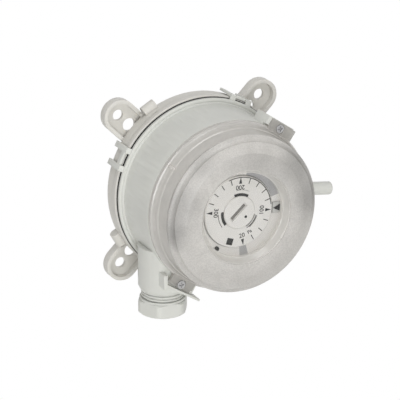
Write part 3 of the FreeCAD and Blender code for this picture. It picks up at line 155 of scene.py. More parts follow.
def add(tree: Tree, kind: str, settings: Optional[dict] = None,
        values: Optional[dict] = None, links: Optional[dict] = None) -> Node:
    """Add one shader node with its settings, constants and incoming links.

    Args:
        tree: The node tree.
        kind: Blender's name of the node type, after ShaderNode.
        settings: Node properties by name.
        values: Constants by input name or number.
        links: Nodes or output sockets by input name or number.

    Returns:
        The new node.
    """
    node = tree.nodes.new("ShaderNode" + kind)
    for key, value in (settings or {}).items():
        setattr(node, key, value)
    for key, value in (values or {}).items():
        node.inputs[key].default_value = value
    for key, source in (links or {}).items():
        tree.links.new(outlet(source), node.inputs[key])
    return node


def join(tree: Tree, node: Node, parts: Sequence[Part]) -> Node:
    """Fill a node's first inputs, each from a plain number or a source."""
    for inlet, part in zip(node.inputs, parts):
        if isinstance(part, float):
            inlet.default_value = part
        else:
            tree.links.new(outlet(part), inlet)
    return node


def reckon(tree: Tree, operation: str, *parts: Part) -> Node:
    """Combine two numbers by one of Blender's math operations."""
    return join(tree, add(tree, "Math", {"operation": operation}), parts)


def mix(tree: Tree, *parts: Part) -> Node:
    """Mix two shaders, given after the share of the second."""
    return join(tree, add(tree, "MixShader"), parts)


def remap(tree: Tree, value: Source, first: Point, second: Point,
          settings: Optional[dict] = None) -> Node:
    """Map a value from one range onto another."""
    return add(tree, "MapRange", settings,
               {"From Min": first[0], "From Max": first[1],
                "To Min": second[0], "To Max": second[1]}, {"Value": value})


def noise(tree: Tree, place: Socket, grain: float, detail: float = 3.0) -> Socket:
    """Give a noise pattern whose features measure about grain mm."""
    return add(tree, "TexNoise", values={"Scale": 1 / (grain * MM), "Detail": detail},
               links={"Vector": place}).outputs["Fac"]


def spread(tree: Tree, factor: Source, low: float, high: float) -> Node:
    """Map the usual range of a noise pattern onto the range low to high."""
    return remap(tree, factor, (0.3, 0.7), (low, high))


def tinted(tree: Tree, factor: Source, first: str, second: str) -> Socket:
    """Mix two hex colours by a pattern."""
    return add(tree, "Mix", {"data_type": "RGBA"},
               values={"A": linear(first), "B": linear(second)},
               links={0: factor}).outputs["Result"]


def darkened(tree: Tree, share: Source, values: dict, links: dict) -> Socket:
    """Multiply a colour, given as input A, by a share of light."""
    return add(tree, "Mix", {"data_type": "RGBA", "blend_type": "MULTIPLY"},
               {0: 1.0, **values}, {"B": share, **links}).outputs["Result"]


def bump(tree: Tree, height: Source, rise: float, strength: float = 0.5,
         under: Optional[Source] = None) -> Node:
    """Raise a surface by a pattern, by rise mm at most, over another bump where there is one."""
    return add(tree, "Bump", values={"Strength": strength, "Distance": rise * MM},
               links={"Height": height, **({"Normal": under} if under else {})})


def blank(name: str) -> tuple[bpy.types.Material, Tree]:
    """Make a material with an empty node tree."""
    material = bpy.data.materials.new(name)
    material.use_nodes = True
    material.node_tree.nodes.clear()
    return material, material.node_tree


@dataclass(frozen=True)
class Finish(ABC):
    """A surface that can be put on a piece.

    Attributes:
        name: Name of the material and how it is made.
    """

    name: str

    def build(self) -> bpy.types.Material:
        """Make the material, once."""
        found = bpy.data.materials.get(self.name)
        if found is not None:
            return found
        material, tree = blank(self.name)
        place = add(tree, "TexCoord").outputs["Object"]
        add(tree, "OutputMaterial", links={"Surface": self.surface(tree, place)})
        return material

    @abstractmethod
    def surface(self, tree: Tree, place: Socket) -> Source:
        """Build the shader.

        Args:
            tree: The node tree.
            place: Object coordinates in metres.

        Returns:
            The shader.
        """


# Sizes in mm of moulded colour clouds, flow waves, gloss patches and the painted corner shade.
CLOUDS, WAVES, PATCHES, CORNER_SHADE_REACH = 14.0, 5.0, 2.5, 1.2


@dataclass(frozen=True)
class MouldedPlastic(Finish):
    """Injection moulded plastic with a fine sparked grain and slight flow clouding.

    Attributes:
        colour: Hex colour of the clean surface.
        cloud: Hex colour it drifts to.
        roughness: Mean roughness.
        grain: Size of the moulded grain, in mm.
        depth: Height of the grain, in mm.
        glow: Share of light that spreads under the skin.
    """

    colour: str
    cloud: str
    roughness: float = 0.45
    grain: float = 0.22
    depth: float = 0.006
    glow: float = 0.0

    def surface(self, tree: Tree, place: Socket) -> Source:
        """Build clouded colour over grain and slow waves, with painted shade darkening the
        corners.
        """
        cloud = spread(tree, noise(tree, place, CLOUDS), 0.0, 1.0)
        grain = bump(tree, noise(tree, place, self.grain, 2.0), self.depth, 0.6)
        swell = bump(tree, noise(tree, place, WAVES), 0.02, 0.5, grain)
        # Painted shade: ambient occlusion darkens the colour in corners and creases.
        open_share = add(tree, "AmbientOcclusion", {"samples": 6},
                         values={"Distance": CORNER_SHADE_REACH * MM}).outputs["AO"]
        corner_shade = remap(tree, open_share, (0.2, 0.85), (0.72, 1.0))
        base = tinted(tree, cloud, self.colour, self.cloud)
        return add(tree, "BsdfPrincipled",
                   values={"Specular IOR Level": 0.45, "Subsurface Weight": self.glow,
                           "Subsurface Radius": (1.0, 0.95, 0.8), "Subsurface Scale": 1.2 * MM},
                   links={"Base Color": darkened(tree, corner_shade, {}, {"A": base}),
                          "Roughness": spread(tree, noise(tree, place, PATCHES),
                                              self.roughness - 0.05, self.roughness + 0.06),
                          "Normal": swell})


@dataclass(frozen=True)
class Rubber(Finish):
    """Black moulded rubber with bloom and a matt grain.

    Attributes:
        colour: Hex colour.
        bloom: Hex colour of the pale bloom.
    """

    colour: str
    bloom: str

    def surface(self, tree: Tree, place: Socket) -> Source:
        """Build matt rubber with its bloom."""
        bloom = spread(tree, noise(tree, place, 3.0, 5.0), 0.0, 0.6)
        return add(tree, "BsdfPrincipled",
                   values={"Roughness": 0.72, "Specular IOR Level": 0.3},
                   links={"Base Color": tinted(tree, bloom, self.colour, self.bloom),
                          "Normal": bump(tree, noise(tree, place, 0.3), 0.01, 0.7)})


class Brushing(Enum):
    """How a metal piece was worked, as the stretch of its marks along each axis."""

    TURNED = (1.0, 1.0, 14.0)
    DRAWN = (1.0, 9.0, 1.0)
    PLATED = (1.0, 1.0, 1.0)


@dataclass(frozen=True)
class Metal(Finish):
    """Bare or plated metal with tool marks.

    Attributes:
        colour: Hex colour.
        stain: Hex colour of its tarnish.
        roughness: Mean roughness.
        work: How it was worked.
    """

    colour: str
    stain: str
    roughness: float
    work: Brushing

    def surface(self, tree: Tree, place: Socket) -> Source:
        """Build metal with tool marks and tarnish."""
        drawn = add(tree, "Mapping", values={"Scale": self.work.value},
                    links={"Vector": place}).outputs["Vector"]
        marks = noise(tree, drawn, 0.5, 4.0)
        stain = spread(tree, noise(tree, place, 2.0, 4.0), 0.0, 0.7)
        return add(tree, "BsdfPrincipled", values={"Metallic": 1.0},
                   links={"Base Color": tinted(tree, stain, self.colour, self.stain),
                          "Roughness": spread(tree, marks, self.roughness - 0.08,
                                              self.roughness + 0.1),
                          "Normal": bump(tree, marks, 0.01)})


@dataclass(frozen=True)
class Shadow:
    """A soft painted shadow on a satin wall, standing in for shade and for the dark works seen
    through it.

    Attributes:
        place: Its middle, x and y of the switch lying on its back, in mm.
        reach: How far it spreads, in mm.
        share: How much light it takes in its middle.
        inside: Distance from the middle of the cover that bounds it, or zero.
    """

    place: Point
    reach: float
    share: float
    inside: float = 0.0


# Half the width of the soft edge where a shadow is bounded, in mm.
BLUR = 0.4


@dataclass(frozen=True)
class ClearPlastic(Finish):
    """Clear moulded polycarbonate with a light haze, let through without bending the view.

    Attributes:
        tint: Hex colour of what passes straight through.
        haze: Hex colour of the milky share.
        haze_share: How much of the light the haze takes.
        gloss: Roughness of the shine.
        shine: Least share of the light that the skin throws back.
        shade: Hex colour of the light that goes on through one wall.
        grain: Size of the frosting in mm, zero where the surface is polished.
        ior: How strongly the skin mirrors.
        shadows: Painted soft shadows on the haze colour.
        depth: Depth of the shadows' middles, in mm.
    """

    tint: str
    haze: str
    haze_share: float
    gloss: float
    shine: float
    shade: str
    grain: float = 0.0
    ior: float = 1.5
    shadows: tuple[Shadow, ...] = ()
    depth: float = 55.0

    def tone(self, tree: Tree, place: Socket) -> Socket:
        """Give the colour of the haze, with its sparkle and its painted shadows."""
        light = spread(tree, noise(tree, place, 0.55, 1.0), 0.9, 1.08)
        # Painted shade: each shadow darkens the haze colour round its middle, bounded at a radius
        # where it has one.
        for shadow in self.shadows:
            middle = (shadow.place[0] * MM, -self.depth * MM, shadow.place[1] * MM)
            away = add(tree, "VectorMath", {"operation": "DISTANCE"},
                       values={1: middle}, links={0: place}).outputs["Value"]
            let = remap(tree, away, (0.0, shadow.reach * MM), (1 - shadow.share, 1.0),
                        {"interpolation_type": "SMOOTHSTEP"})
            if shadow.inside:
                flat = add(tree, "VectorMath", {"operation": "MULTIPLY"}, {1: (1, 0, 1)},
                           {0: place})
                out = add(tree, "VectorMath", {"operation": "LENGTH"},
                          links={0: flat}).outputs["Value"]
                ends = (shadow.inside - BLUR) * MM, (shadow.inside + BLUR) * MM
                let = reckon(tree, "MAXIMUM", let, remap(tree, out, ends, (0.0, 1.0)))
            light = reckon(tree, "MULTIPLY", light, let)
        return darkened(tree, light, {"A": linear(self.haze)}, {})

    def surface(self, tree: Tree, place: Socket) -> Source:
        """Build haze and shine over a straight view through; shadows let some light on."""
        flow = noise(tree, place, 7.0)
        normal = bump(tree, flow, 0.05)
        if self.grain:
            normal = bump(tree, noise(tree, place, self.grain), 0.01, 0.5, normal)
        through = add(tree, "BsdfTransparent", values={"Color": linear(self.tint)})
        links = {"Normal": normal}
        if self.grain:
            links["Color"] = self.tone(tree, place)
        milk, glow = (add(tree, kind, values={"Color": linear(self.haze)}, links=links)
                      for kind in ("BsdfDiffuse", "BsdfTranslucent"))
        share = spread(tree, flow, self.haze_share * 0.92, min(self.haze_share * 1.08, 1.0))
        body = mix(tree, share, through, mix(tree, 0.4, milk, glow))
        shine = add(tree, "BsdfGlossy", values={"Roughness": self.gloss},
                    links={"Normal": normal})
        rim = add(tree, "Fresnel", values={"IOR": self.ior}, links={"Normal": normal})
        # The inside of a wall doesn't mirror, or a slanting view through the pane goes dark.
        side = add(tree, "NewGeometry").outputs["Backfacing"]
        edge = reckon(tree, "MULTIPLY", rim, reckon(tree, "SUBTRACT", 1.0, side))
        skin = mix(tree, reckon(tree, "MAXIMUM", edge, self.shine), body, shine)
        rays = add(tree, "LightPath").outputs
        onward = add(tree, "BsdfTransparent", values={"Color": linear(self.shade)})
        return mix(tree, rays["Is Shadow Ray"], skin, onward)


@dataclass(frozen=True)
class Ink(Finish):
    """Pad printed ink, slightly worn; the same flat ink also paints shade.

    Attributes:
        colour: Hex colour.
    """

    colour: str

    def surface(self, tree: Tree, place: Socket) -> Source:
        """Build ink whose gloss is worn in spots."""
        return add(tree, "BsdfPrincipled", values={"Base Color": linear(self.colour)},
                   links={"Roughness": spread(tree, noise(tree, place, 0.4, 5.0), 0.42, 0.6)})


# Moulded ABS of the base, a warm pale grey that reads a touch darker than the middle.
IVORY = MouldedPlastic("moulded ABS, warm pale grey", "dcdad5", "d6d4ce", 0.42, 0.25, 0.006,
                       0.08)
# Moulded ABS of the middle housing and gland nut, a cool pale grey with a satin sheen.
PALE_GREY = MouldedPlastic("moulded ABS, cool pale grey", "d9dad5", "d4d5d0", 0.38, 0.2, 0.005,
                           0.08)
# Glass filled nylon of the inner frame, pale grey, seen round the dial.
MID_GREY = MouldedPlastic("glass filled nylon, pale grey", "cfcfcc", "c6c6c3", 0.5, 0.35, 0.01)
# Acetal of the dial, near white so that the black print stands out.
WHITE = MouldedPlastic("moulded acetal, white", "efedea", "e9e7e3", 0.35, 0.3, 0.003, 0.1)
# Nylon of the cover screws, mid grey with little contrast; also painted shade round the dial.
SCREW_AND_SHADE_GREY = MouldedPlastic("moulded nylon, mid grey, and painted shade", "b9b9ba", "acacae", 0.4, 0.25, 0.006)
# Nylon of the switch, the terminal block and the pointer, near black.
BLACK = MouldedPlastic("moulded nylon, black", "1b1b1d", "232325", 0.45, 0.3, 0.008)
# Silicone of the diaphragm and seals, the matt black line between the housings.
RUBBER = Rubber("moulded silicone rubber, black", "141414", "242424")
# Zinc on small steel pieces, a cool grey that glints.
ZINC = Metal("zinc plated steel", "c4c8cc", "aeb2b4", 0.32, Brushing.PLATED)
# Drawn wire, a little darker than the zinc.
SPRING = Metal("drawn spring steel", "a9acb0", "8a8c90", 0.3, Brushing.DRAWN)
# Turned brass, the one warm colour among the works.
BRASS = Metal("turned brass", "c9a45a", "a98443", 0.3, Brushing.TURNED)
# Moulded polycarbonate of the rim, milky but thin enough to take the colour of the wall.
CLEAR = ClearPlastic("polycarbonate, milky rim", "f5f4f2", "eae8e5", 0.66, 0.16, 0.1, "e2e1de")
# Spark eroded mould face, the satin dome that hides the works and glitters finely; painted shadows
# darken its haze.
SATIN = ClearPlastic("polycarbonate, satin dome", "ecebe8", "e2e0dd", 0.88, 0.45, 0.1,
                     "cfcdca", 0.3, shadows=(
                         Shadow((-34.5, -3.5), 11.0, 0.42), Shadow((-31.0, 10.0), 16.0, 0.3),
                         Shadow((35.0, 4.0), 17.0, 0.4), Shadow((27.0, 21.0), 16.0, 0.36),
                         Shadow((-21.0, 27.0), 12.0, 0.2), Shadow((4.0, 23.0), 22.0, 0.2, 28.6)))
# Polished pane over the dial, clear with hardly a shine.
PANE = ClearPlastic("polycarbonate, polished pane", "fbfbfb", "e4e6e3", 0.02, 0.03, 0.01,
                    "f4f4f4", ior=1.2)
# Thick lip round the pane, where the wall gathers light and half hides what lies behind.
LIP = ClearPlastic("polycarbonate, thick window lip", "f7f6f4", "f0efec", 0.5, 0.12, 0.06,
                   "ecebe9")
# Solid screw ears, grey with the shadow that the thick plastic holds.
SMOKE = ClearPlastic("polycarbonate, solid ear", "e6e5e2", "c9c7c3", 0.62, 0.14, 0.08, "d6d4d1")
# Print of the scale, and painted shade that makes the dial's openings and rim edge look black.
PRINT_AND_SHADE = Ink("black ink, print and painted shade", "101010")
# Shadow and wear in narrow grooves, as grey as the moulded edge lets it look.
GROOVE = Ink("grey groove edge, painted shade and wear", "5c5956")
# Painted shade on the floor of the screwdriver slot, dark grey.
SLOT_FLOOR_SHADE = Ink("painted slot floor shade, dark grey", "7d7a76")


# Mesh building


def put(name: str, data: bpy.types.ID) -> Object:
    """Put a new object that shows some data in the scene."""
    made = bpy.data.objects.new(name, data)
    bpy.context.scene.collection.objects.link(made)
    return made


# Points closer than this are one, in drawn forms and in copied CAD nodes, in mm.
MERGE, WELD = 1e-5, 1e-4
# Copied faces that meet flatter than this are one, and edges sharper are rounded, in degrees.
FLAT, SHARP = 0.4, 32.0


class Form:
    """A mesh in the making, in millimetres, lying on its back."""

    def __init__(self) -> None:
        self.mesh = bmesh.new()

    def take(self, other: "Form", matrix: Optional[Matrix] = None) -> "Form":
        """Add another form, moved by a matrix, and free it."""
        if matrix is not None:
            bmesh.ops.transform(other.mesh, matrix=matrix, verts=other.mesh.verts)
        holder = bpy.data.meshes.new("holder")
        other.mesh.to_mesh(holder)
        other.mesh.free()
        self.mesh.from_mesh(holder)
        bpy.data.meshes.remove(holder)
        return self

    def lathe(self, profile: Sequence[Point], steps: int = 128) -> "Form":
        """Turn a closed outline of radius and depth about z."""
        verts = [self.mesh.verts.new((radius, 0, depth)) for radius, depth in profile]
        edges = [self.mesh.edges.new((verts[i], verts[(i + 1) % len(verts)]))
                 for i in range(len(verts))]
        bmesh.ops.spin(self.mesh, geom=verts + edges, cent=(0, 0, 0), axis=(0, 0, 1),
                       dvec=(0, 0, 0), angle=math.tau, steps=steps, use_merge=True,
                       use_duplicate=False)
        bmesh.ops.remove_doubles(self.mesh, verts=self.mesh.verts, dist=MERGE)
        return self.tidy()

    def prism(self, outline: Sequence[Point], low: float, high: float) -> "Form":
        """Raise a closed outline from one depth to another."""
        verts = [self.mesh.verts.new((x, y, low)) for x, y in outline]
        face = self.mesh.faces.new(verts)
        made = bmesh.ops.extrude_face_region(self.mesh, geom=[face])
        top = [item for item in made["geom"] if isinstance(item, Vert)]
        bmesh.ops.translate(self.mesh, vec=(0, 0, high - low), verts=top)
        return self.tidy()

    def box(self, low: Sequence[float], high: Sequence[float]) -> "Form":
        """Make a block between two corners."""
        outline = [(low[0], low[1]), (high[0], low[1]), (high[0], high[1]), (low[0], high[1])]
        return self.prism(outline, low[2], high[2])

    def rod(self, radius: float, low: float, high: float, steps: int = 48) -> "Form":
        """Make a round rod along z."""
        return self.prism([polar(radius, 360 * i / steps) for i in range(steps)], low, high)

    def ring(self, radius: Callable[[float], float], level: Callable[[float, float], float],
             steps: int, middle: Point = (0.0, 0.0)) -> list[Vert]:
        """Add a ring of points, its radius from the angle and its depth from x and y."""
        made = []
        for step in range(steps):
            turn = 360 * step / steps
            x, y = polar(radius(turn), turn)
            x, y = middle[0] + x, middle[1] + y
            made.append(self.mesh.verts.new((x, y, level(x, y))))
        return made

    def band(self, low: Sequence[Vert], high: Sequence[Vert]) -> None:
        """Join two rings by faces."""
        for i, vert in enumerate(low):
            j = (i + 1) % len(low)
            self.mesh.faces.new((vert, low[j], high[j], high[i]))

    def cut(self, tool: "Form") -> "Form":
        """Take another form out of this one, and free it."""
        holders = []
        for form in (self, tool):
            holders.append(put("holder", bpy.data.meshes.new("holder")))
            form.mesh.to_mesh(holders[-1].data)
            form.mesh.free()
        knife = holders[0].modifiers.new("cut", "BOOLEAN")
        knife.operation = "DIFFERENCE"
        knife.object = holders[1]
        seen = holders[0].evaluated_get(bpy.context.evaluated_depsgraph_get())
        self.mesh = bmesh.new()
        self.mesh.from_mesh(seen.to_mesh())
        for mesh in [holder.data for holder in holders]:
            bpy.data.meshes.remove(mesh)
        return self.tidy()

    def tidy(self) -> "Form":
        """Point every face outwards."""
        bmesh.ops.recalc_face_normals(self.mesh, faces=self.mesh.faces)
        return self

    def soften(self, width: float, angle: float = 30.0, segments: int = 2) -> "Form":
        """Round every edge sharper than an angle."""
        limit = math.radians(angle)
        sharp = [edge for edge in self.mesh.edges
                 if len(edge.link_faces) == 2 and edge.calc_face_angle() > limit]
        bmesh.ops.bevel(self.mesh, geom=sharp, offset=width, offset_type="OFFSET",
                        segments=segments, profile=0.5, affect="EDGES", clamp_overlap=True,
                        material=-1)
        return self

    def finish(self, name: str, finishes: Sequence[Finish], body: str,
               nodes: Sequence[str] = (), zone: Optional[Callable[[Vector], int]] = None,
               crease: float = 38.0) -> Object:
        """Stand the form up and put it in the scene.

        Args:
            name: Name of the object.
            finishes: Its finishes.
            body: The CAD body it moves with, or nothing where it is left free.
            nodes: The CAD nodes it stands for.
            zone: Picks the number of the finish from a face's middle, in mm.
            crease: Edges sharper than this stay sharp, in degrees.

        Returns:
            The object.
        """
        limit = math.radians(crease)
        for face in self.mesh.faces:
            face.smooth = True
            if zone is not None:
                face.material_index = zone(face.calc_center_median())
        for edge in self.mesh.edges:
            edge.smooth = len(edge.link_faces) == 2 and edge.calc_face_angle() < limit
        bmesh.ops.transform(self.mesh, matrix=STAND_UP, verts=self.mesh.verts)
        mesh = bpy.data.meshes.new(name)
        self.mesh.to_mesh(mesh)
        self.mesh.free()
        for finish in finishes:
            mesh.materials.append(finish.build())
        made = put(name, mesh)
        if body:
            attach(made, body)
        if nodes:
            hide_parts(*nodes)
        return made


@dataclass(frozen=True)
class LugSize:
    """Sizes in mm and places in degrees of the round ends of the fixing lugs."""

    first: float = 45.0
    apart: float = 90.0
    hole_place: float = 50.0
    hole_room: float = 3.1
    arc: float = 51.5
    draw_in: float = 1.8

    def draw(self, form: Form) -> None:
        """Draw the round end of each lug in to its fixing hole."""
        for vert in form.mesh.verts:
            turn = math.degrees(math.atan2(vert.co.y, vert.co.x))
            near = self.first + self.apart * round((turn - self.first) / self.apart)
            axis = Vector(polar(1.0, near))
            along = vert.co.xy.dot(axis)
            if along > self.arc and (vert.co.xy - axis * self.hole_place).length > self.hole_room:
                vert.co.xy -= axis * self.draw_in


@dataclass(frozen=True)
class Stretch:
    """The two bodies and depths that a spring spans.

    Attributes:
        still: The body its back end stands on; not used.
        moving: The body that presses its front end; not used.
        start: Depth of its back end, in mm; not used.
        end: Depth of its front end, in mm; not used.
    """

    still: str
    moving: str
    start: float
    end: float


@dataclass(frozen=True)
class CadPiece:
    """A copy of a CAD node with softened edges and its finish.

    Attributes:
        node: Name of the CAD node.
        finish: Its finish.
        edge: Edge rounding in mm.
        lugs: The lug ends to draw in, where it has lugs.
        stretch: Bodies it spans, where it does; such a piece is left free and baked in place.
    """

    node: str
    finish: Finish
    edge: float
    lugs: Optional[LugSize] = None
    stretch: Optional[Stretch] = None

    def build(self) -> Object:
        """Copy the node, round its edges and hide the original."""
        source = frame["nodes"][self.node]
        form = Form()
        form.mesh.from_mesh(source.data)
        for layer in list(form.mesh.loops.layers.uv):
            form.mesh.loops.layers.uv.remove(layer)
        bmesh.ops.transform(form.mesh, matrix=STAND_UP.inverted(), verts=form.mesh.verts)
        bmesh.ops.remove_doubles(form.mesh, verts=form.mesh.verts, dist=WELD)
        if self.lugs:
            self.lugs.draw(form)
        if self.edge:
            bmesh.ops.dissolve_limit(form.mesh, angle_limit=math.radians(FLAT),
                                     verts=form.mesh.verts, edges=form.mesh.edges,
                                     use_dissolve_boundaries=False, delimit=set())
            form.soften(self.edge, SHARP)
        body = "" if self.stretch else source["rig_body"]
        made = form.finish(self.node + "_skin", [self.finish], body, [self.node])
        if self.stretch:
            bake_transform(made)
        return made


@dataclass(frozen=True)
class DomeSize:
    """Sizes of the cover, in mm and degrees."""

    back: float = 40.5
    rim: float = 38.9
    inner: float = 36.9
    side: float = 36.0
    corner: float = 36.2
    corner_depth: float = 56.5
    edge: float = 28.2
    edge_depth: float = 57.9
    lip: float = 21.2
    lip_depth: float = 58.2
    pane: float = 19.4
    pane_clear: float = 19.3
    pane_front: float = 55.2
    pane_back: float = 53.4
    wall: float = 1.9
    ear_front: float = 42.7
    ear_step: float = 1.2
    pocket: float = 2.2
    pocket_depth: float = 1.0
    mark_place: float = 29.6
    mark_radius: float = 4.1
    mark_first: float = -7.6
    mark_count: int = 6
    satin_from: float = 52.4
    lip_over: float = 0.3
    ear_root: float = 37.6
    ear_round: float = 0.25
    rib_angle: float = 141.5
    rib_round: float = 0.3
    bulge: float = 0.52
    sag: float = 0.28
    sunk: float = 0.03


class Zone(IntEnum):
    """The finish of each stretch of the cover, by its number on the mesh."""

    CLEAR = 0
    SATIN = 1
    PANE = 2
    LIP = 3
    EAR = 4


# Radius and depth of the rim's steps outside, from its bead to the dome, in mm.
RIM_STEPS = ((37.35, 43.6), (37.2, 44.4), (37.15, 45.1), (36.95, 45.7), (36.55, 46.1),
             (36.45, 47.5), (36.0, 51.8), (35.75, 52.3), (35.7, 52.5), (35.8, 52.75),
             (36.05, 53.0), (36.15, 53.5))
# Corners of the locating rib before it is turned to its angle, in mm.
RIB = ((35.2, -0.7, 42.2), (38.4, 0.7, 46.2))
# Offset from a witness mark's radius and rise above the dome, across the mark's raised line.
MARK_LINE = ((-0.14, -0.03), (-0.05, 0.03), (0.05, 0.03), (0.14, -0.03))


@dataclass(frozen=True)
class Ear:
    """One screw ear of the cover, in mm, drawn along x and turned to its angle.

    Attributes:
        angle: Where it stands, in degrees.
        low: Its right hand end.
        high: Its left hand end.
        reach: Its outer edge.
        screw: Radius and angle of its screw.
        step: Width of the sunk step along its outer edge, or zero.
    """

    angle: float
    low: float
    high: float
    reach: float
    screw: Point
    step: float


EARS = (Ear(55.5, -9.8, 4.3, 42.8, (40.4, 52.8), 0.0),
        Ear(235.0, -7.0, 5.8, 42.9, (40.9, 234.0), 1.5))


@dataclass(frozen=True)
class CoverDome:
    """The frosted cover with its clear rim, pane, ears and mould marks."""

    size: DomeSize = DomeSize()

    def outline(self) -> list[Point]:
        """Give the turned outline, from the middle of the pane's back and round."""
        s = self.size
        points: list[Point] = [
            (0, s.pane_back), (s.pane_clear, s.pane_back), (s.lip + 0.1, s.pane_back),
            (s.lip + s.wall, s.lip_depth - s.wall),
            (s.edge, s.edge_depth - s.wall), (s.corner - 3.5, s.corner_depth - s.wall),
            (s.side - s.wall, 53.0), (s.side - s.wall, 46.2), (s.side - s.wall + 0.8, 43.6),
            (s.inner, 42.1), (s.inner, s.back)]
        points += [(s.rim - 0.15, s.back), (s.rim, s.back + 0.15)]
        points += bend((s.rim, 42.3), (37.5, 43.55), 1.4, 8)
        points += RIM_STEPS
        points += bend((s.corner, 54.0), (s.corner - 2.5, s.corner_depth), 2.5, 10)
        points += bend((s.corner - 2.5, s.corner_depth), (s.edge, s.edge_depth), 30.0, 8)
        points += [(s.edge - 0.05, s.edge_depth + 0.02), (24.5, 58.05), (22.2, 58.15)]
        points += bend((s.lip + 0.6, s.lip_depth), (s.lip, s.lip_depth - 0.6), 0.6, 6)
        points += [(s.lip, s.lip_depth - 0.6), (s.pane + 0.25, s.pane_front + 0.15),
                   (s.pane, s.pane_front), (s.pane_clear, s.pane_front), (0, s.pane_front)]
        return points

    def zone(self, middle: Vector) -> int:
        """Pick the finish of a face from where its middle is."""
        s = self.size
        radius = math.hypot(middle.x, middle.y)
        if radius < s.pane_clear:
            return Zone.PANE
        if radius < s.lip + s.lip_over:
            return Zone.LIP
        if middle.z > s.satin_from:
            return Zone.SATIN
        if radius > s.rim and middle.z > s.back:
            return Zone.EAR
        return Zone.CLEAR

    def build(self) -> Object:
        """Build the cover."""
        s = self.size
        form = Form().lathe(self.outline(), 192)
        for ear in EARS:
            block = Form().box((s.ear_root, ear.low, s.back),
                               (ear.reach, ear.high, s.ear_front))
            if ear.step:
                block.cut(Form().box((ear.reach - ear.step, ear.low - 1, s.ear_front - s.ear_step),
                                     (ear.reach + 1, ear.high + 1, s.ear_front + 1)))
            block.soften(s.ear_round, segments=3)
            x, y = polar(ear.screw[0], ear.screw[1] - ear.angle)
            pocket = Form().rod(s.pocket, s.ear_front - s.pocket_depth, s.ear_front + 1)
            block.cut(Form().take(pocket, shift(x, y)))
            form.take(block, spin(ear.angle))
        form.take(Form().box(*RIB).soften(s.rib_round), spin(s.rib_angle))
        return form.finish("cover_skin", [CLEAR, SATIN, PANE, LIP, SMOKE], "cover_body",
                           ["cover"], self.zone, 24)

    def surface(self, radius: float) -> float:
        """Give the depth of the dome's outside at a radius."""
        s = self.size
        if radius > s.edge:
            share = (radius - s.edge) / (s.corner - 2.5 - s.edge)
            flat = s.edge_depth + (s.corner_depth - s.edge_depth) * share
            return flat + s.bulge * share * (1 - share)
        share = (radius - s.lip) / (s.edge - s.lip)
        return s.lip_depth - s.sunk - s.sag * share ** 1.5

    def marks(self) -> Object:
        """Build the round witness marks that the ejector pins left."""
        s, form = self.size, Form()
        for number in range(s.mark_count):
            middle = polar(s.mark_place, s.mark_first + 360 / s.mark_count * number)
            rings = [form.ring(lambda turn, offset=offset: s.mark_radius + offset,
                               lambda x, y, rise=rise: self.surface(math.hypot(x, y)) + rise,
                               64, middle) for offset, rise in MARK_LINE]
            for low, high in zip(rings, rings[1:]):
                form.band(high, low)
        return form.finish("cover_ejector_marks", [SATIN], "cover_body", crease=80)


@dataclass(frozen=True)
class GlandSize:
    """Sizes of the cable gland, in mm and degrees."""

    x: float = -26.4
    depth: float = 28.0
    root: float = 9.0
    crest: float = 9.72
    pitch: float = 1.5
    thread_top: float = -39.7
    thread_bottom: float = -42.9
    flats: float = 20.8
    corner: float = 11.5
    turn: float = -116.3
    top: float = -43.0
    bottom: float = -50.3
    collar: float = 10.4
    collar_height: float = 1.0
    chamfer: float = 1.0
    floor: float = 1.8
    hole: float = 6.6
    fit: float = 0.1
    crown: float = 0.8
    plain: float = 3.0
    round: float = 0.25
    thread_steps: int = 96
    nut_steps: int = 180


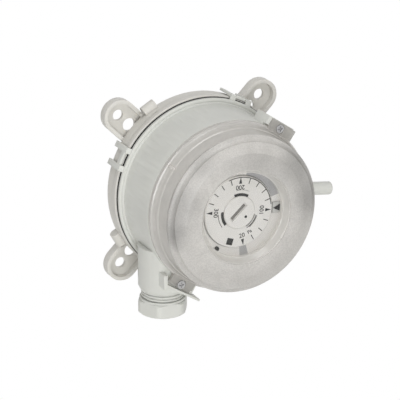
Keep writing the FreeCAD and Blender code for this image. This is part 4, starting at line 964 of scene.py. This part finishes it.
@dataclass(frozen=True)
class Gland:
    """The gland's seen thread and its cap nut."""

    size: GlandSize = GlandSize()

    def downwards(self) -> Matrix:
        """Give the matrix that turns +z up along y, at the gland."""
        s = self.size
        return shift(s.x, 0, s.depth) @ Matrix.Rotation(math.radians(-90), 4, "X")

    @staticmethod
    def skin(form: Form, radius: Callable[[float, float], float], levels: Sequence[float],
             steps: int) -> list[list[Vert]]:
        """Add a round skin, its radius from angle and height, and give its rings."""
        rings = [form.ring(lambda turn, level=level: radius(turn, level),
                           lambda x, y, level=level: level, steps) for level in levels]
        for low, high in zip(rings, rings[1:]):
            form.band(low, high)
        return rings

    def thread(self) -> Object:
        """Build the turns of thread left bare above the nut."""
        s = self.size
        count = int((s.thread_top - s.thread_bottom) / s.pitch * 10)
        levels = [s.thread_bottom + (s.thread_top - s.thread_bottom) * i / count
                  for i in range(count + 1)]

        def radius(turn: float, level: float) -> float:
            """Give the thread's radius, run out at both ends."""
            share = (level / s.pitch + turn / 360) % 1
            rise = min(1.0, max(0.0, 2.2 - abs(share - 0.5) * 5.5))
            ends = min(1.0, (s.thread_top - level) / 0.5, (level - s.thread_bottom) / 0.2 + 0.1)
            return s.root - 0.02 + (s.crest - s.root) * rise * max(ends, 0.0)

        form = Form()
        self.skin(form, radius, levels, s.thread_steps)
        bmesh.ops.holes_fill(form.mesh, edges=form.mesh.edges)
        form.tidy()
        whole = Form().take(form, self.downwards())
        return whole.finish("gland_thread", [PALE_GREY], "case", crease=60)

    def nut(self) -> Object:
        """Build the cap nut."""
        s = self.size
        hex_top = s.top - s.collar_height
        levels = [s.bottom + s.chamfer * i / 6 for i in range(7)]
        levels += [s.bottom + s.plain, hex_top - s.crown]
        levels += [hex_top - s.crown + s.crown * i / 5 for i in range(1, 6)]

        def radius(turn: float, level: float) -> float:
            """Give the nut's radius: its flats, its corners and both chamfers."""
            local = (turn + 30) % 60 - 30
            flat = s.flats / 2 / math.cos(math.radians(local))
            low = s.corner - s.chamfer + (level - s.bottom)
            high = s.corner - s.crown * max(0.0, (level - hex_top + s.crown) / s.crown) ** 2
            return min(flat, s.corner, low, high)

        form = Form()
        rings = self.skin(form, radius, levels, s.nut_steps)
        bore = s.root + s.fit
        last = rings[0]
        for inner, level in ((s.hole, s.bottom), (s.hole, s.bottom + s.floor),
                             (bore, s.bottom + s.floor), (bore, s.top),
                             (s.collar - s.round, s.top), (s.collar, s.top - s.round),
                             (s.collar, hex_top)):
            new = form.ring(lambda turn, inner=inner: inner,
                            lambda x, y, level=level: level, s.nut_steps)
            form.band(last, new)
            last = new
        form.band(last, rings[-1])
        form.tidy()
        whole = Form().take(form, self.downwards() @ spin(30 - s.turn))
        whole.tidy()
        return whole.finish("gland_nut_skin", [PALE_GREY], "nut", ["gland_nut"], crease=22)


@dataclass(frozen=True)
class DialPrint:
    """Sizes and turns of the print on the dial and of what is seen round it, in mm and degrees."""

    face: float = 50.8
    height: float = 0.03
    sunk: float = 0.02
    tick_inner: float = 13.3
    tick_outer: float = 15.8
    tick_width: float = 0.38
    wedge_inner: float = 13.1
    wedge_outer: float = 16.1
    wedge_half: float = 0.75
    figure: float = 2.9
    figure_radius: float = 11.4
    figure_swell: float = 0.03
    unit: float = 2.32
    unit_turn: float = 20.0
    knob_face: float = 51.6
    dot_place: Point = (3.0, -2.4)
    dot: float = 0.65
    floor_low: float = 49.5
    floor_high: float = 50.83
    square_radius: float = 13.85
    square_half: float = 1.52
    square_turn: float = 251.5
    slot_length: float = 8.6
    slot_width: float = 1.5
    slot_turn: float = 42.0
    slot_place: Point = (-0.6, 0.3)
    apron_inner: float = 16.8
    apron_outer: float = 23.5
    apron_back: float = 49.3
    apron_front: float = 49.7
    pin: float = 1.0
    pin_height: float = 0.8
    pin_place: Point = (-10.4, -15.7)
    slot_floor: float = 50.9


@dataclass(frozen=True)
class Arc:
    """One arc on the dial, from one angle and radius to another."""

    first: float
    last: float
    inner: float
    outer: float


def arcs(several: Sequence[Arc], low: float, high: float, steps: int = 24) -> Form:
    """Raise arcs from one depth to another."""
    form = Form()
    for arc in several:
        turns = [arc.first + (arc.last - arc.first) * i / steps for i in range(steps + 1)]
        outline = [polar(arc.outer, turn) for turn in turns]
        outline += [polar(arc.inner, turn) for turn in reversed(turns)]
        form.take(Form().prism(outline, low, high))
    return form


# Through slots that show black, with black floors of painted shade.
DARK_ARCS = (Arc(57, 106, 7.45, 8.7), Arc(172, 217.5, 7.5, 8.75))
# Painted shadow, a black line along the dial's upper right edge.
RIM_SHADOW_ARCS = (Arc(4, 108, 15.76, 16.14),)
# Stretches of the ring round the dial painted grey as shade, in degrees.
APRON_SHADED_STRETCHES = ((14, 76), (-88, -76))
# Moulded edges of the slots beside them, painted grey as shade and wear.
EDGE_ARCS = (Arc(-64, -18, 7.65, 7.9), Arc(-64, -18, 8.75, 9.1), Arc(60, 97, 10.1, 10.22),
             Arc(178, 215, 9.9, 10.2))
# Pressures in Pa where the scale starts and ends, between ticks, and with a wedge and a number.
SCALE_FIRST, SCALE_LAST, SCALE_STEP, NUMBERED = 20, 300, 20, (20, 100, 200, 300)
# Where the scale starts, how far it sweeps and how much its middle is ahead, in degrees.
SCALE_START, SCALE_SWEEP, SCALE_BOW = 278, 255, 21


@dataclass(frozen=True)
class Dial:
    """The scale printed on the setting dial."""

    size: DialPrint = DialPrint()

    @staticmethod
    def angle(pressure: float) -> float:
        """Give the place of a pressure on the scale, in degrees."""
        share = (pressure - SCALE_FIRST) / (SCALE_LAST - SCALE_FIRST)
        return SCALE_START + SCALE_SWEEP * share + SCALE_BOW * share * (1 - share)

    def ticks(self) -> Object:
        """Build the ticks and the wedge marks."""
        s, form = self.size, Form()
        low, top = s.face - s.sunk, s.face + s.height
        for pressure in range(SCALE_FIRST, SCALE_LAST + 1, SCALE_STEP):
            if pressure in NUMBERED:
                tick = Form().prism([(s.wedge_inner, -s.wedge_half), (s.wedge_outer, 0),
                                     (s.wedge_inner, s.wedge_half)], low, top)
            else:
                half = s.tick_width / 2
                tick = Form().box((s.tick_inner, -half, low), (s.tick_outer, half, top))
            form.take(tick, spin(self.angle(pressure)))
        return form.finish("dial_ticks", [PRINT_AND_SHADE], "dial")

    def figure(self, text: str, angle: float, size: float) -> Form:
        """Build one printed figure whose top points to the middle."""
        curve = bpy.data.curves.new("figure " + text, "FONT")
        curve.body = text
        curve.size = size
        curve.align_x = "CENTER"
        curve.align_y = "CENTER"
        curve.extrude = self.size.height / 2
        curve.offset = self.size.figure_swell
        holder = bpy.data.objects.new("figure", curve)
        mesh = bpy.data.meshes.new_from_object(holder)
        form = Form()
        form.mesh.from_mesh(mesh)
        bpy.data.curves.remove(curve)
        bpy.data.meshes.remove(mesh)
        x, y = polar(self.size.figure_radius, angle)
        place = shift(x, y, self.size.face + self.size.height / 2) @ spin(angle + 90)
        return Form().take(form, place)

    def figures(self) -> Object:
        """Build the plain numbers and the unit."""
        s, form = self.size, Form()
        for pressure in NUMBERED:
            form.take(self.figure(str(pressure), self.angle(pressure), s.figure))
        form.take(self.figure("Pa", self.angle(SCALE_FIRST) + s.unit_turn, s.unit))
        return form.finish("dial_figures", [PRINT_AND_SHADE], "dial")

    def floors(self) -> Object:
        """Build black floors of painted shade in two arc slots and the square window."""
        s, half = self.size, self.size.square_half
        form = arcs(DARK_ARCS, s.floor_low, s.floor_high)
        square = Form().box((s.square_radius - half, -half, s.floor_low),
                            (s.square_radius + half, half, s.floor_high))
        form.take(square, spin(s.square_turn))
        return form.finish("dial_slot_painted_shade", [PRINT_AND_SHADE], "dial")

    def lines(self) -> None:
        """Build the grey edge lines of painted shade and wear, and the painted shadow at the rim.
        """
        low, high = self.size.face - self.size.sunk, self.size.face + self.size.height
        arcs(EDGE_ARCS, low, high).finish("dial_slot_edges", [GROOVE], "dial")
        arcs(RIM_SHADOW_ARCS, low, high).finish("dial_rim_painted_shadow", [PRINT_AND_SHADE], "dial")

    def apron(self) -> Object:
        """Build the pale ring of the works round the dial, its painted grey shade and black pin.
        """
        s = self.size

        def shade(middle: Vector) -> int:
            """Pick white, the grey of painted shade, or the pin's black for a face."""
            if middle.z > s.apron_front + 0.01:
                return 2
            angle = math.degrees(math.atan2(middle.y, middle.x))
            return int(any(low < angle < high for low, high in APRON_SHADED_STRETCHES))

        form = Form().lathe([(s.apron_inner, s.apron_back), (s.apron_outer, s.apron_back),
                             (s.apron_outer, s.apron_front), (s.apron_inner, s.apron_front)])
        pin = Form().rod(s.pin, s.apron_front - 0.1, s.apron_front + s.pin_height, 32)
        form.take(pin, shift(*s.pin_place))
        return form.finish("works_apron", [WHITE, SCREW_AND_SHADE_GREY, PRINT_AND_SHADE], "case", zone=shade)

    def slot(self) -> Object:
        """Build the painted shade on the floor of the screwdriver slot."""
        s = self.size
        half, side = s.slot_length / 2, s.slot_width / 2
        form = Form().box((-half, -side, s.slot_floor - s.sunk),
                          (half, side, s.slot_floor + 2 * s.sunk))
        placed = Form().take(form, shift(*s.slot_place) @ spin(s.slot_turn))
        return placed.finish("dial_slot_shade", [SLOT_FLOOR_SHADE], "dial")

    def dot(self) -> Object:
        """Build the printed dot beside the screwdriver slot."""
        s = self.size
        form = Form().rod(s.dot, s.knob_face - s.sunk, s.knob_face + s.height, 32)
        return Form().take(form, shift(*s.dot_place)).finish("dial_dot", [PRINT_AND_SHADE], "dial")

    def build(self) -> None:
        """Build all print, the painted shade in openings and slots, and the ring round the dial.
        """
        self.ticks()
        self.figures()
        self.floors()
        self.lines()
        self.apron()
        self.slot()
        self.dot()


@dataclass(frozen=True)
class Lamp:
    """One round soft box, in metres and watts."""

    name: str
    place: tuple[float, float, float]
    size: float
    power: float


LAMPS = (Lamp("key", (-0.35, -1.1, 0.05), 0.7, 5.4), Lamp("top", (-0.1, -0.45, 1.0), 0.7, 2.6))
# The camera's place worked out from the photo: its turn and rise in degrees, its distance from
# the point aimed at, and how far that point lies to the right and below, in metres.
AZIMUTH, RISE, DISTANCE, ASIDE, DOWN = -26.2968, 20.4456, 0.90294, 0.005516, 0.010636
# Focal length and width of the sensor in mm, and how near and far the camera sees, in metres.
LENS, SENSOR, NEAR, FAR = 177.14, 36.0, 0.05, 20.0
# Half the floor's width and how far it lies below, in metres.
FLOOR_HALF, FLOOR_LEVEL = 4.0, -0.4
# Half the card's width and its place, in metres.
CARD_HALF, CARD_PLACE = 0.3, (0.65, 0.05, 0.0)
# Strength of the light from all round.
SURROUND = 0.5


class Studio:
    """Floor, soft lights, one dark card, white surround and the camera at the photo's place."""

    @staticmethod
    def plain_rays(tree: Tree) -> Node:
        """Give one for rays from the camera, a mirror or clear plastic."""
        rays = add(tree, "LightPath").outputs
        straight = reckon(tree, "MAXIMUM", rays["Is Camera Ray"], rays["Is Transmission Ray"])
        return reckon(tree, "MAXIMUM", straight, rays["Is Glossy Ray"])

    @staticmethod
    def panel(name: str, half: float, level: float, material: bpy.types.Material) -> Object:
        """Make one square sheet of the studio."""
        mesh = bpy.data.meshes.new(name)
        mesh.from_pydata([(-half, -half, level), (half, -half, level), (half, half, level),
                          (-half, half, level)], [], [(0, 1, 2, 3)])
        mesh.materials.append(material)
        made = put(name, mesh)
        return made

    def floor(self) -> None:
        """Lay a pale floor well below."""
        material, tree = blank("pale studio paper")
        white = add(tree, "Emission", values={"Color": linear("ffffff")})
        paper = add(tree, "BsdfDiffuse", values={"Color": linear("f4f4f2")})
        add(tree, "OutputMaterial",
            links={"Surface": mix(tree, self.plain_rays(tree), paper, white)})
        self.panel("floor", FLOOR_HALF, FLOOR_LEVEL, material)

    def surround(self) -> None:
        """Light from all round, white where the camera or a mirror sees it."""
        world = bpy.data.worlds.new("studio")
        bpy.context.scene.world = world
        world.use_nodes = True
        tree = world.node_tree
        tree.nodes.clear()
        plain = add(tree, "Background", values={"Color": linear("ffffff"), "Strength": 1.0})
        light = add(tree, "Background", values={"Color": linear("fdfcfa"), "Strength": SURROUND})
        add(tree, "OutputWorld", links={"Surface": mix(tree, self.plain_rays(tree), light, plain)})

    @staticmethod
    def aim(made: Object, place: Sequence[float]) -> None:
        """Move an object and point it at the switch."""
        made.location = place
        made.rotation_euler = Vector(place).to_track_quat("Z", "Y").to_euler()

    def lamp(self, lamp: Lamp) -> None:
        """Hang one soft box that points at the switch."""
        data = bpy.data.lights.new(lamp.name, "AREA")
        data.shape = "DISK"
        data.size = lamp.size
        data.energy = lamp.power
        made = put(lamp.name, data)
        self.aim(made, lamp.place)

    def card(self) -> None:
        """Stand one dark square card to the right, facing the switch, out of the picture."""
        material, tree = blank("studio card, side_card")
        paper = add(tree, "BsdfDiffuse", values={"Color": linear("303030")})
        add(tree, "OutputMaterial", links={"Surface": paper})
        card = self.panel("side_card", CARD_HALF, 0.0, material)
        self.aim(card, CARD_PLACE)
        card.visible_camera = False
        card.visible_transmission = False

    @staticmethod
    def camera() -> None:
        """Set the camera at the place worked out from the photo."""
        azimuth, height = math.radians(AZIMUTH), math.radians(RISE)
        right = Vector((math.cos(azimuth), math.sin(azimuth), 0))
        back = Vector((math.sin(azimuth) * math.cos(height),
                       -math.cos(azimuth) * math.cos(height), math.sin(height)))
        up = back.cross(right)
        data = bpy.data.cameras.new("camera")
        data.sensor_width, data.lens = SENSOR, LENS
        data.clip_start, data.clip_end = NEAR, FAR
        camera = put("camera", data)
        turn = Matrix((right, up, back)).transposed().to_4x4()
        spot = right * ASIDE - up * DOWN + back * DISTANCE
        camera.matrix_world = Matrix.Translation(spot) @ turn
        bpy.context.scene.camera = camera

    def build(self) -> None:
        """Build the studio."""
        self.floor()
        self.surround()
        for lamp in LAMPS:
            self.lamp(lamp)
        self.card()
        self.camera()
        bpy.context.scene.view_settings.view_transform = "Standard"


# The other nodes, by finish and edge rounding in mm.
PLAIN_PIECES: tuple[tuple[Finish, float, str], ...] = (
    (PALE_GREY, 0.2, "middle_housing"),
    (RUBBER, 0.0, "diaphragm spindle_seal_ring push_pin_seal cover_gasket"),
    (RUBBER, 0.15, "gland_seal"),
    (MID_GREY, 0.12, "diaphragm_plate"),
    (MID_GREY, 0.2, "mechanism_bridge"),
    (MID_GREY, 0.1, "gland_clamp_ring"),
    (BRASS, 0.12, "spring_seat terminal_clamp_1 terminal_clamp_2 terminal_clamp_3"),
    (BRASS, 0.08, "setting_spindle"),
    (BRASS, 0.06, "contact_strap_1 contact_strap_2 contact_strap_3"),
    (WHITE, 0.0, "setting_dial"),
    (WHITE, 0.1, "switch_plunger"),
    (ZINC, 0.1, "bridge_screws switch_screws"),
    (ZINC, 0.06, "switch_lever lever_pin"),
    (ZINC, 0.08, "terminal_screw_1 terminal_screw_2 terminal_screw_3"),
    (BLACK, 0.0, "setting_pointer"),
    (BLACK, 0.2, "switch_body"),
    (BLACK, 0.15, "terminal_block"),
    (SCREW_AND_SHADE_GREY, 0.15, "cover_screw_upper cover_screw_lower"),
)


def main() -> None:
    """Build the switch and its studio."""
    CadPiece("base_housing", IVORY, 0.3, LugSize()).build()
    CadPiece("pressure_spring", SPRING, 0.0, stretch=Stretch("case", "seat", 15.3, 23.3)).build()
    for finish, edge, nodes in PLAIN_PIECES:
        for node in nodes.split():
            CadPiece(node, finish, edge).build()
    dome = CoverDome()
    dome.build()
    dome.marks()
    gland = Gland()
    gland.thread()
    gland.nut()
    Dial().build()
    Studio().build()


if __name__ == "__main__":
    main()
